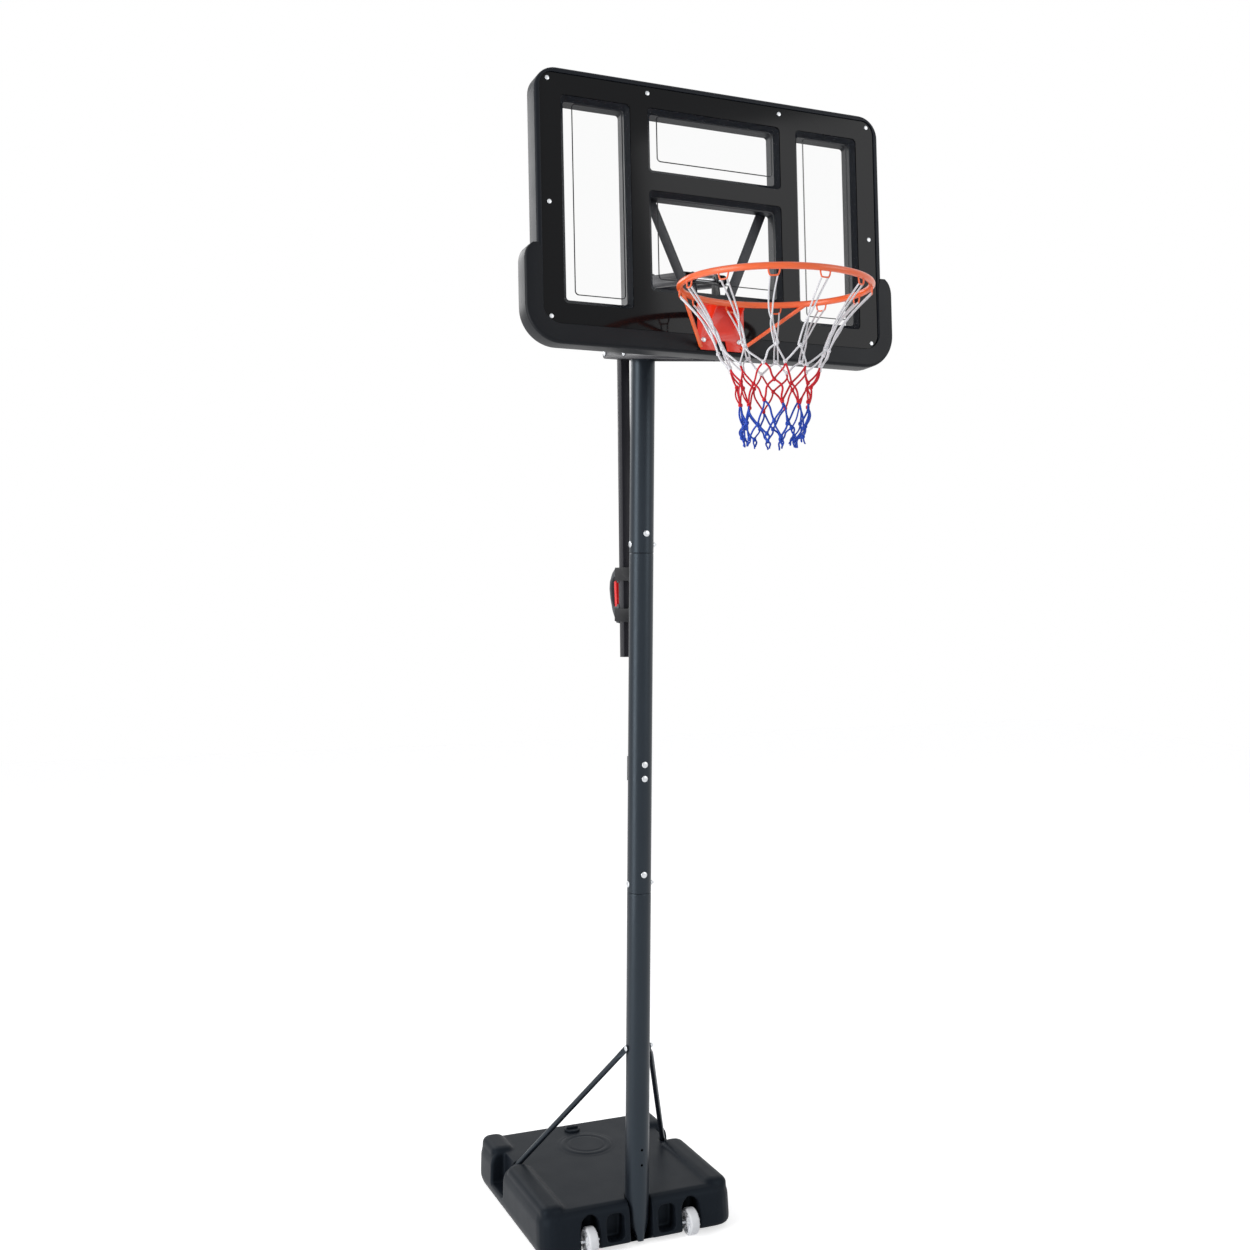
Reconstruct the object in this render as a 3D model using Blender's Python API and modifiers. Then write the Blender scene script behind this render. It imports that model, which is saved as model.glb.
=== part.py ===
"""Portable basketball stand: filled base on wheels, pole in three pieces, parallel lift arms, board and rim.

Metres, +Z up. The origin is the centre of the base's flat underside. The court side is -Y.
"""

from math import atan2, cos, hypot, pi, radians, sin, tan

import bmesh
import bpy
from mathutils import Matrix, Vector

GAP = 0.0003  # left between pieces that touch

# Base tank
BASE_WIDTH = 0.630
BASE_DEPTH = 0.660
BASE_HEIGHT = 0.135
BASE_CORNER = 0.060
TOE_HEIGHT = 0.018
TOE_DEPTH = 0.040
FRONT_RAKE = 0.016
PILLOW_RISE = 0.012
PILLOW_WIDTH = 0.078
PILLOW_INSET = 0.008
PILLOW_FRONT = -0.300
PILLOW_REAR = 0.312
NOTCH_FRONT = 0.054
NOTCH_LENGTH = 0.115
NOTCH_DEPTH = 0.048
NOTCH_FLOOR = 0.040
CHANNEL_FLOOR = 0.010
SLOT_OFFSET = 0.084
SLOT_WIDTH = 0.056
SLOT_DEPTH = 0.045
SLOT_TOP = 0.106
SLOT_FLOOR = 0.028
SLOT_CORNER = 0.014
EMBLEM_RADIUS = 0.088
EMBLEM_RISE = 0.003
EMBLEM_Y = 0.130

# Filler neck and its screw cap
FILLER_Y = 0.258
FILLER_BORE = 0.020
FILLER_DEPTH = 0.030
FILLER_CAP_RADIUS = 0.026
FILLER_CAP_HEIGHT = 0.007
FILLER_CAP_GRIP = 0.005

# Wheels
WHEEL_RADIUS = 0.040
WHEEL_WIDTH = 0.030
WHEEL_OFFSET = 0.165
WHEEL_LIFT = 0.0015
WHEEL_STICKS_OUT = 0.026
AXLE_RADIUS = 0.005
AXLE_CLEAR = 0.0005
AXLE_GRIP = 0.014
POCKET_CLEAR = 0.014
POCKET_TOP = 0.116

# Pole
POLE_SETBACK = 0.045
POLE_RADIUS = 0.036
POLE_WALL = 0.0018
POLE_FOOT = 0.0105
FOOT_HALF_WIDTH = 0.012
FOOT_TAPER = 0.070
POLE_SIDES = 24
JOINT_LOW = 1.060
JOINT_HIGH = 2.075
JOINT_NECK = 0.090
POLE_TOP = 2.890
POLE_HOLE_LOW = 0.242
POLE_HOLE_PITCH = 0.046
CAP_PLUG = 0.016
CAP_RISE = 0.010

# Bolts
BOLT_RADIUS = 0.004
BOLT_CLEAR = 0.0004
HEAD_RATIO = 2.4
HEAD_RISE = 0.8
NUT_RATIO = 1.85
NUT_RISE = 1.6
BOLT_TAIL = 0.004
PIVOT_RADIUS = 0.005
JOINT_FRONT_BOLT = 0.058
JOINT_SIDE_BOLT = 0.026

# Side braces
BRACE_RADIUS = 0.0085
BRACE_TOP = 0.590
BRACE_EAR = 0.0035
BRACE_EAR_LENGTH = 0.040
BRACE_EAR_HEIGHT = 0.020
BRACE_SETOFF = 0.021
BRACE_FOOT_BEHIND = 0.050
BRACE_FOOT_HEIGHT = 0.098
FOOT_BOLT_GRIP = 0.022

# Stowage bracket behind the middle pole section
STOW_TOP = 1.463
STOW_HEIGHT = 0.074
STOW_BOLT_PITCH = 0.042
STOW_REACH = 0.026
STOW_HALF_WIDTH = 0.015
STOW_WALL = 0.003

# Lift arms
LOWER_PIVOT = 2.663
PIVOT_SPACING = 0.200
ARM_LENGTH = 0.404
ARM_TAIL = 0.150
ARM_SLOPE = radians(8.0)
ARM_WIDTH = 0.025
ARM_HEIGHT = 0.032
ARM_WALL = 0.002

# Lift strut
STRUT_WIDTH = 0.028
STRUT_DEPTH = 0.032
STRUT_WALL = 0.002
STRUT_BOTTOM = 1.760
STRUT_FOOT_BEHIND_POLE = 0.072
STRUT_EYE = 0.016

# Handle: a forked bracket that the strut slides in, a loop grip, a trigger and its latch pin
BRACKET_TOP = 2.033
BRACKET_HEIGHT = 0.165
CHEEK_WALL = 0.003
CHEEK_SIDE_GAP = 0.0012
CHEEK_BEHIND_POLE = 0.123
CHEEK_BAND = 0.040
CHEEK_NECK = 0.012
BRACKET_BOLT_INSET = 0.017
BRACKET_BOLT_GRIP = 0.018
GRIP_BEHIND_STRUT = 0.0035
GRIP_WEB = 0.013
GRIP_WEB_HALF = 0.0085
GRIP_BEHIND_POLE = 0.176
GRIP_BELOW_BRACKET = 0.006
GRIP_EDGE = 0.003
TRIGGER_BEHIND_POLE = 0.128
TRIGGER_HEIGHT = 0.035
TRIGGER_LENGTH = 0.0825
TRIGGER_HALF_THICK = 0.0075
TRIGGER_HALF_WIDTH = 0.012
TRIGGER_LEAN = radians(6.3)
TRIGGER_PIN_RADIUS = 0.003
LATCH_RADIUS = 0.005
LATCH_ABOVE_PIVOT = 0.0344
LATCH_CLEAR = 0.0032
LATCH_BEHIND_CLEAR = 0.0018

# Board, in its own axes: u across, v behind the face, w up from the lower screws
FACE_BEHIND_PIVOT = 0.100
PIVOT_DROP = 0.041
BOARD_LEAN = radians(4.0)
FRAME_HALF_WIDTH = 0.507
FRAME_TOP = 0.635
FRAME_BOTTOM = -0.030
FRAME_DEPTH = 0.055
FRAME_LIP = 0.0135
FRAME_LIP_RISE = 0.004
FRAME_CORNER = 0.060
FRAME_EDGE = 0.008
FRAME_SKIN = 0.018
FRAME_WALL = 0.005
TAB_HALF_WIDTH = 0.072
TAB_BOTTOM = -0.058
TAB_TOP = 0.092
TAB_BEHIND_SHEET = 0.008
SHEET_THICK = 0.0035
WINDOW_CORNER = 0.008
WINDOW_REVEAL = 0.012
SIDE_WINDOW_IN = 0.257
SIDE_WINDOW_OUT = 0.425
SIDE_WINDOW_LOW = 0.048
SIDE_WINDOW_HIGH = 0.556
CENTRE_HALF = 0.184
UPPER_WINDOW_LOW = 0.410
UPPER_WINDOW_HIGH = 0.556
TARGET_LOW = 0.100
TARGET_HIGH = 0.340
SCREW_SIDE = 0.472
SCREW_INNER = 0.195
SCREW_HIGH = 0.6046
SCREW_MIDDLE = 0.290
SCREW_HEAD = 0.006
SCREW_SHANK = 0.0022
SCREW_LENGTH = 0.012

# Bumper pad round the board's lower edge
PAD_THICK = 0.034
PAD_BELOW = 0.038
PAD_TOP = 0.184
PAD_CORNER = 0.095
PAD_OVERHANG = 0.002
PAD_EDGE = 0.009

# Bracket that carries the board, and its two stays
CARRIER_WALL = 0.003
CARRIER_TOP = 0.100
CARRIER_BOTTOM = -0.056
CARRIER_EYE = 0.018
STAY_WIDTH = 0.028
STAY_THICK = 0.004
STAY_FOOT_W = 0.080
STAY_HEAD_U = 0.179
STAY_HEAD_W = 0.375
STAY_BOSS = 0.014

# Rim
RIM_INNER = 0.225
RIM_ROD = 0.008
RIM_RISE = 0.0591
RIM_BOARD_GAP = 0.065
RIM_SIDES = 48
RIM_PLATE_HALF = 0.068
RIM_PLATE_FOOT_HALF = 0.060
RIM_PLATE_THICK = 0.004
RIM_PLATE_LOW = -0.056
RIM_PLATE_HIGH = 0.074
RIM_BOLT_U = 0.052
RIM_BOLT_LOW = -0.030
RIM_BOLT_HIGH = 0.045
RIM_SHELF_HALF = 0.041
RIM_SHELF_THICK = 0.0035
RIM_SHELF_OVERRUN = 0.005
RIM_GUSSET_DROP = 0.052
RIM_BRACE_ANGLE = radians(41.0)
RIM_BRACE_RADIUS = 0.005
RIM_BRACE_FOOT_U = 0.061
RIM_BRACE_FOOT_W = -0.048
HOOKS = 12
HOOK_WIRE = 0.002
HOOK_DROP = 0.014
HOOK_HALF = 0.013

# Net
NET_RINGS = 8
NET_CORD = 0.0045
NET_NECK_RADIUS = 0.084
NET_TOP_DROP = 0.0266
NET_LENGTH = 0.400

# Places that follow from the sizes above
BASE_FRONT = -BASE_DEPTH / 2
POLE_Y = BASE_FRONT + POLE_SETBACK
WHEEL_Y = BASE_FRONT - WHEEL_STICKS_OUT + WHEEL_RADIUS
WHEEL_Z = WHEEL_RADIUS + WHEEL_LIFT
POCKET_HALF = WHEEL_WIDTH / 2 + POCKET_CLEAR
NOTCH_WALL = BASE_WIDTH / 2 - NOTCH_DEPTH
ARM_SIDE = POLE_RADIUS + GAP + ARM_WIDTH / 2
UPPER_PIVOT = LOWER_PIVOT + PIVOT_SPACING
BOARD_PIVOT_Y = POLE_Y - ARM_LENGTH * cos(ARM_SLOPE)
BOARD_PIVOT_Z = LOWER_PIVOT - ARM_LENGTH * sin(ARM_SLOPE)
TAIL_Y = POLE_Y + ARM_TAIL * cos(ARM_SLOPE)
TAIL_Z = LOWER_PIVOT + ARM_TAIL * sin(ARM_SLOPE)
STRUT_FOOT_SETBACK = POLE_RADIUS + STRUT_FOOT_BEHIND_POLE
CHEEK_REACH = POLE_RADIUS + CHEEK_BEHIND_POLE
GRIP_REACH = POLE_RADIUS + GRIP_BEHIND_POLE
TRIGGER_SETBACK = POLE_RADIUS + TRIGGER_BEHIND_POLE
STRUT_LEAN = atan2(TAIL_Y - POLE_Y - STRUT_FOOT_SETBACK, TAIL_Z - STRUT_BOTTOM)
BRACKET_LOW = BRACKET_TOP - BRACKET_HEIGHT
STOW_BOLTS = [STOW_TOP - STOW_HEIGHT / 2 + side * STOW_BOLT_PITCH / 2 for side in (-1, 1)]
HANDLE_BOLTS = [BRACKET_LOW + BRACKET_BOLT_INSET, BRACKET_TOP - BRACKET_BOLT_INSET]
CHEEK_IN = STRUT_WIDTH / 2 + CHEEK_SIDE_GAP
TRIGGER_Z = BRACKET_LOW + TRIGGER_HEIGHT
LATCH_Z = TRIGGER_Z + LATCH_ABOVE_PIVOT
RIM_RADIUS = RIM_INNER + RIM_ROD
RIM_CENTRE = -RIM_BOARD_GAP - RIM_RADIUS
RIM_PLATE_BACK = -FRAME_LIP_RISE - GAP
RIM_PLATE_FRONT = RIM_PLATE_BACK - RIM_PLATE_THICK
STAY_FOOT_U = POLE_RADIUS + GAP + STAY_WIDTH / 2
CARRIER_HALF_WIDTH = STAY_FOOT_U + STAY_WIDTH / 2
CARRIER_FRONT = FRAME_DEPTH + GAP
CARRIER_BACK = CARRIER_FRONT + CARRIER_WALL


def collection(name):
    made = bpy.data.collections.new(name)
    bpy.context.scene.collection.children.link(made)
    return made


for leftover in list(bpy.data.objects):
    bpy.data.objects.remove(leftover, do_unlink=True)
PARTS = collection("portable_basketball_stand")
CUTTERS = collection("cutters")


def material(name, colour, roughness, metallic=0.0):
    """A plain Principled material in linear colour."""
    made = bpy.data.materials.new(name)
    made.use_nodes = True
    made.diffuse_color = (*colour, 1.0)
    shader = made.node_tree.nodes["Principled BSDF"]
    shader.inputs["Base Color"].default_value = (*colour, 1.0)
    shader.inputs["Roughness"].default_value = roughness
    shader.inputs["Metallic"].default_value = metallic
    return made


POLE_PAINT = material("pole_paint", (0.014, 0.017, 0.024), 0.35, 0.2)
ARM_PAINT = material("arm_paint", (0.060, 0.062, 0.070), 0.45, 0.3)
BASE_PLASTIC = material("base_plastic", (0.020, 0.021, 0.023), 0.45)
FRAME_PLASTIC = material("frame_plastic", (0.014, 0.016, 0.020), 0.38)
PAD_PLASTIC = material("pad_plastic", (0.012, 0.013, 0.016), 0.55)
SHEET_PLASTIC = material("sheet_plastic", (0.010, 0.010, 0.012), 0.08)
WHEEL_PLASTIC = material("wheel_plastic", (0.75, 0.75, 0.75), 0.45)
ZINC = material("zinc", (0.62, 0.62, 0.60), 0.30, 1.0)
RIM_PAINT = material("rim_paint", (0.85, 0.13, 0.03), 0.35)
RIM_PLATE_PAINT = material("rim_plate_paint", (0.70, 0.03, 0.015), 0.35)
GRIP_PLASTIC = material("grip_plastic", (0.10, 0.10, 0.11), 0.60)
TRIGGER_PLASTIC = material("trigger_plastic", (0.65, 0.02, 0.02), 0.40)
NET_PAINT = material("net_cord", (0.80, 0.78, 0.78), 0.80)


def empty(name, location, tilt=0.0, parent=None):
    """Axes of their own, tilted about X."""
    made = bpy.data.objects.new(name, None)
    made.location = location
    made.rotation_euler = (tilt, 0.0, 0.0)
    made.parent = parent
    PARTS.objects.link(made)
    return made


def place(name, mesh, paint, parent=None, location=(0, 0, 0)):
    """Link a mesh as a named piece."""
    mesh.name = name
    made = bpy.data.objects.new(name, mesh)
    made.location = location
    made.parent = parent
    mesh.materials.clear()
    mesh.materials.append(paint)
    PARTS.objects.link(made)
    return made


def finish_mesh(name, bm):
    bmesh.ops.recalc_face_normals(bm, faces=bm.faces)
    made = bpy.data.meshes.new(name)
    bm.to_mesh(made)
    bm.free()
    return made


def box_mesh(name, low, high):
    """A box between two corners."""
    bm = bmesh.new()
    bmesh.ops.create_cube(bm, size=1.0)
    bmesh.ops.scale(bm, vec=[b - a for a, b in zip(low, high)], verts=bm.verts)
    bmesh.ops.translate(bm, vec=[(a + b) / 2 for a, b in zip(low, high)], verts=bm.verts)
    return finish_mesh(name, bm)


def along(start, end):
    """The turn and shift that lay +Z along a line from its start."""
    run = Vector(end) - Vector(start)
    return Matrix.Translation(start) @ run.to_track_quat("Z", "Y").to_matrix().to_4x4()


def rod_mesh(name, start, end, radius, sides=16):
    """A cylinder between two points."""
    length = (Vector(end) - Vector(start)).length
    made = turned_mesh(name, [(radius, 0.0), (radius, length)], sides)
    made.transform(along(start, end))
    return made


def turned_mesh(name, profile, sides, closed=False):
    """A profile of (radius, height) pairs turned about Z; a closed profile makes a ring."""
    rings = [
        [(radius * cos(2 * pi * k / sides), radius * sin(2 * pi * k / sides), height) for k in range(sides)]
        for radius, height in profile]
    return ring_mesh(name, rings, closed)


def ring_mesh(name, rings, closed=False):
    """Loops of points skinned one to the next, capped at both ends or joined round."""
    bm = bmesh.new()
    loops = [[bm.verts.new(point) for point in ring] for ring in rings]
    pairs = list(zip(loops, loops[1:]))
    if closed:
        pairs.append((loops[-1], loops[0]))
    for first, second in pairs:
        for k in range(len(first)):
            after = (k + 1) % len(first)
            bm.faces.new((first[k], first[after], second[after], second[k]))
    if not closed:
        bm.faces.new(loops[0])
        bm.faces.new(loops[-1])
    return finish_mesh(name, bm)


def loft_mesh(name, layers):
    """Outlines with the same number of points, each at its own height along Z."""
    return ring_mesh(name, [[(x, y, height) for x, y in outline] for outline, height in layers])


def wire_mesh(name, points, radius, resolution=1):
    """A round wire with filled ends along a run of points."""
    curve = bpy.data.curves.new(name, "CURVE")
    curve.dimensions = "3D"
    curve.bevel_depth = radius
    curve.bevel_resolution = resolution
    curve.use_fill_caps = True
    spline = curve.splines.new("POLY")
    spline.points.add(len(points) - 1)
    for slot, point in zip(spline.points, points):
        slot.co = (*point, 1.0)
    return mesh_of_curve(name, curve)


def plate_mesh(name, outline, low, high, holes=()):
    """A flat outline, less its holes, made solid from one height to another along Z."""
    curve = bpy.data.curves.new(name, "CURVE")
    curve.dimensions = "2D"
    curve.fill_mode = "BOTH"
    curve.extrude = (high - low) / 2
    for loop in (outline, *holes):
        spline = curve.splines.new("POLY")
        spline.points.add(len(loop) - 1)
        for slot, (x, y) in zip(spline.points, loop):
            slot.co = (x, y, 0.0, 1.0)
        spline.use_cyclic_u = True
    made = mesh_of_curve(name, curve)
    made.transform(Matrix.Translation((0, 0, (low + high) / 2)))
    return made


def mesh_of_curve(name, curve):
    """The evaluated curve as a mesh whose caps are welded to its sides."""
    holder = bpy.data.objects.new(name + "_curve", curve)
    CUTTERS.objects.link(holder)
    graph = bpy.context.evaluated_depsgraph_get()
    evaluated = bpy.data.meshes.new_from_object(holder.evaluated_get(graph))
    bpy.data.objects.remove(holder, do_unlink=True)
    bm = bmesh.new()
    bm.from_mesh(evaluated)
    bmesh.ops.remove_doubles(bm, verts=bm.verts, dist=0.00002)
    return finish_mesh(name, bm)


def arc(centre, radius, start, end, steps):
    """Points on a round stretch, its ends included, angles in degrees."""
    return [
        (centre[0] + radius * cos(radians(start + (end - start) * k / steps)),
         centre[1] + radius * sin(radians(start + (end - start) * k / steps)))
        for k in range(steps + 1)]


def round_box(left, right, bottom, top, radius, steps=3):
    """A rectangle with round corners, counter-clockwise."""
    return (
        arc((right - radius, bottom + radius), radius, -90, 0, steps)
        + arc((right - radius, top - radius), radius, 0, 90, steps)
        + arc((left + radius, top - radius), radius, 90, 180, steps)
        + arc((left + radius, bottom + radius), radius, 180, 270, steps))


def stadium(start, end, radius, steps=5):
    """Two round ends joined by straight sides, along the first axis."""
    return arc((end, 0), radius, -90, 90, steps) + arc((start, 0), radius, 90, 270, steps)


def turned_over(mesh, columns):
    """Send a mesh's axes along the three given columns."""
    matrix = Matrix([[columns[c][r] for c in range(3)] for r in range(3)]).to_4x4()
    mesh.transform(matrix)
    if matrix.determinant() < 0:
        mesh.flip_normals()
    return mesh


def side_plate(name, outline, low, high, holes=()):
    """An outline of (y, z) pairs made solid along X."""
    return turned_over(plate_mesh(name, outline, low, high, holes), ((0, 1, 0), (0, 0, 1), (1, 0, 0)))


def front_plate(name, outline, low, high, holes=()):
    """An outline of (x, z) pairs made solid along Y."""
    return turned_over(plate_mesh(name, outline, low, high, holes), ((1, 0, 0), (0, 0, 1), (0, 1, 0)))


def front_loft(name, layers):
    """Outlines of (x, z) pairs, each at its own place along Y."""
    return turned_over(loft_mesh(name, layers), ((1, 0, 0), (0, 0, 1), (0, 1, 0)))


def boolean(piece, mesh, operation):
    """Cut or join a hidden shape given in the piece's own axes."""
    tool = bpy.data.objects.new(mesh.name, mesh)
    tool.location = piece.location
    tool.parent = piece.parent
    tool.hide_render = True
    tool.display_type = "WIRE"
    CUTTERS.objects.link(tool)
    step = piece.modifiers.new(mesh.name, "BOOLEAN")
    step.operation = operation
    step.object = tool
    step.solver = "EXACT"


def cut(piece, mesh):
    boolean(piece, mesh, "DIFFERENCE")


def join(piece, mesh):
    boolean(piece, mesh, "UNION")


def hole(piece, start, end, radius, sides=12):
    cut(piece, rod_mesh("hole", start, end, radius + BOLT_CLEAR, sides))


def soften(piece, width, steps=2, angle=60):
    step = piece.modifiers.new("soften", "BEVEL")
    step.width = width
    step.segments = steps
    step.limit_method = "ANGLE"
    step.angle_limit = radians(angle)


def shade(piece, angle=35):
    piece.data.shade_smooth()
    piece.data.set_sharp_from_angle(angle=radians(angle))
    return piece


def bolt_mesh(name, start, end, radius, nut=True, head=HEAD_RATIO, sides=6):
    """A domed bolt whose head bears at its start and whose nut bears at its end."""
    run = (Vector(end) - Vector(start)).length
    wide = radius * head
    profile = [
        (wide * 0.55, -radius * HEAD_RISE), (wide, -radius * 0.25), (wide, 0.0), (radius, 0.0), (radius, run)]
    if nut:
        nut_wide = radius * NUT_RATIO
        nut_end = run + radius * NUT_RISE
        profile += [(nut_wide, run), (nut_wide, nut_end), (radius, nut_end), (radius, nut_end + BOLT_TAIL)]
    made = turned_mesh(name, profile, sides)
    made.transform(along(start, end))
    return made


def sided(name, sign):
    return f"{name}_{'left' if sign < 0 else 'right'}"


def span(sign, near, far):
    """A stretch along X on one side, low end first."""
    return sorted((sign * near, sign * far))


# Base


def base_outline(inset, front_inset):
    half = BASE_WIDTH / 2 - inset
    return round_box(
        -half, half, BASE_FRONT + front_inset, BASE_DEPTH / 2 - inset, BASE_CORNER - inset * 0.6, 5)


def make_base():
    top = BASE_HEIGHT
    base = place("base_tank", loft_mesh("base_tank", [
        (base_outline(0.010, TOE_DEPTH), 0.0),
        (base_outline(0.002, 0.001), TOE_HEIGHT),
        (base_outline(0.0, 0.0), TOE_HEIGHT + 0.012),
        (base_outline(0.001, FRONT_RAKE * 0.6), top - 0.036),
        (base_outline(0.006, FRONT_RAKE), top - 0.017),
        (base_outline(0.015, FRONT_RAKE + 0.011), top - 0.005),
        (base_outline(0.027, FRONT_RAKE + 0.025), top)]), BASE_PLASTIC)
    for sign in (-1, 1):
        shape_base_side(base, sign)
    channel = arc((0, POLE_Y), POLE_RADIUS + GAP, 0, 180, 12)
    channel += [(-POLE_RADIUS - GAP, BASE_FRONT - 0.05), (POLE_RADIUS + GAP, BASE_FRONT - 0.05)]
    cut(base, plate_mesh("pole_channel", channel, CHANNEL_FLOOR, top + 0.05))
    join(base, rod_mesh(
        "emblem_disc", (0, EMBLEM_Y, top - 0.01), (0, EMBLEM_Y, top + EMBLEM_RISE), EMBLEM_RADIUS, 32))
    cut(base, rod_mesh(
        "filler_bore", (0, FILLER_Y, top - FILLER_DEPTH), (0, FILLER_Y, top + 0.02), FILLER_BORE + GAP, 20))
    shade(base)


def shape_base_side(base, sign):
    """Two pillows, brace notch, wheel pocket and front slot of one side."""
    top = BASE_HEIGHT
    outside = BASE_WIDTH / 2 + 0.02
    notch_rear = NOTCH_FRONT + NOTCH_LENGTH
    x = sign * (BASE_WIDTH / 2 - PILLOW_INSET - PILLOW_WIDTH / 2)
    for front, rear in ((PILLOW_FRONT, NOTCH_FRONT - 0.002), (notch_rear + 0.002, PILLOW_REAR)):
        layers = []
        for inset, rise in ((0.0, -0.3), (0.001, -0.04), (0.006, 0.5), (0.014, 0.86), (0.024, 1.0)):
            half = PILLOW_WIDTH / 2 - inset
            outline = round_box(x - half, x + half, front + inset, rear - inset * 0.6, half * 0.7, 4)
            height = top + PILLOW_RISE * rise if rise > 0 else top + 0.1 * rise
            layers.append((outline, height))
        join(base, loft_mesh("side_pillow", layers))
    low, high = span(sign, NOTCH_WALL, outside)
    cut(base, box_mesh("side_notch", (low, NOTCH_FRONT, NOTCH_FLOOR), (high, notch_rear, top + 0.04)))

    middle = sign * WHEEL_OFFSET
    arch = [(middle - POCKET_HALF, -0.02), (middle + POCKET_HALF, -0.02)]
    arch += arc((middle, POCKET_TOP - POCKET_HALF), POCKET_HALF, 0, 180, 6)
    cut(base, front_plate("wheel_pocket", arch, BASE_FRONT - 0.03, WHEEL_Y + WHEEL_RADIUS + POCKET_CLEAR))
    reach = POCKET_HALF + AXLE_GRIP
    ends = [(x, WHEEL_Y, WHEEL_Z) for x in (middle - reach, middle + reach)]
    cut(base, rod_mesh("axle_bore", *ends, AXLE_RADIUS + GAP, 12))
    middle = sign * SLOT_OFFSET
    half = SLOT_WIDTH / 2
    slot = round_box(middle - half, middle + half, SLOT_FLOOR, SLOT_TOP, SLOT_CORNER, 3)
    cut(base, front_plate("front_slot", slot, BASE_FRONT - 0.03, BASE_FRONT + SLOT_DEPTH))

    head, foot = brace_line(sign)
    run = (head - foot).normalized()
    cut(base, rod_mesh(
        "brace_relief", foot + run * (BRACE_SETOFF - 0.002), foot + run * 0.12, BRACE_RADIUS + 0.002, 12))
    inward = Vector((-sign, 0, 0))
    hole(base, foot - inward * 0.01, foot + inward * (FOOT_BOLT_GRIP + 0.004), BOLT_RADIUS)


def make_filler_cap():
    inside = -FILLER_DEPTH + 0.008
    rim = FILLER_CAP_HEIGHT
    profile = [
        (FILLER_BORE - 0.003, inside), (FILLER_BORE, inside + 0.003), (FILLER_BORE, GAP),
        (FILLER_CAP_RADIUS, GAP), (FILLER_CAP_RADIUS, rim - 0.002), (FILLER_CAP_RADIUS - 0.002, rim)]
    spot = (0, FILLER_Y, BASE_HEIGHT)
    cap = place("filler_cap", turned_mesh("filler_cap", profile, 20), BASE_PLASTIC, location=spot)
    bar = FILLER_CAP_RADIUS * 0.8
    join(cap, box_mesh("cap_bar", (-bar, -0.003, rim - 0.003), (bar, 0.003, rim + FILLER_CAP_GRIP)))
    shade(cap)


def make_wheels():
    half = WHEEL_WIDTH / 2
    bore = AXLE_RADIUS + AXLE_CLEAR
    hub = WHEEL_RADIUS * 0.42
    tread = WHEEL_RADIUS * 0.78
    one_side = [
        (bore, half), (hub, half), (hub + 0.002, half - 0.005), (tread - 0.002, half - 0.005),
        (tread, half), (WHEEL_RADIUS - 0.004, half), (WHEEL_RADIUS, half - 0.005)]
    profile = one_side + [(radius, -x) for radius, x in reversed(one_side)]
    reach = POCKET_HALF + AXLE_GRIP - GAP
    for sign in (-1, 1):
        spot = (sign * WHEEL_OFFSET, WHEEL_Y, WHEEL_Z)
        mesh = turned_mesh("wheel", profile, 18, closed=True)
        mesh.transform(Matrix.Rotation(pi / 2, 4, "Y"))
        shade(place(sided("wheel", sign), mesh, WHEEL_PLASTIC, location=spot))
        axle = rod_mesh("axle", (-reach, 0, 0), (reach, 0, 0), AXLE_RADIUS, 12)
        shade(place(sided("wheel_axle", sign), axle, ZINC, location=spot))


# Pole


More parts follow.
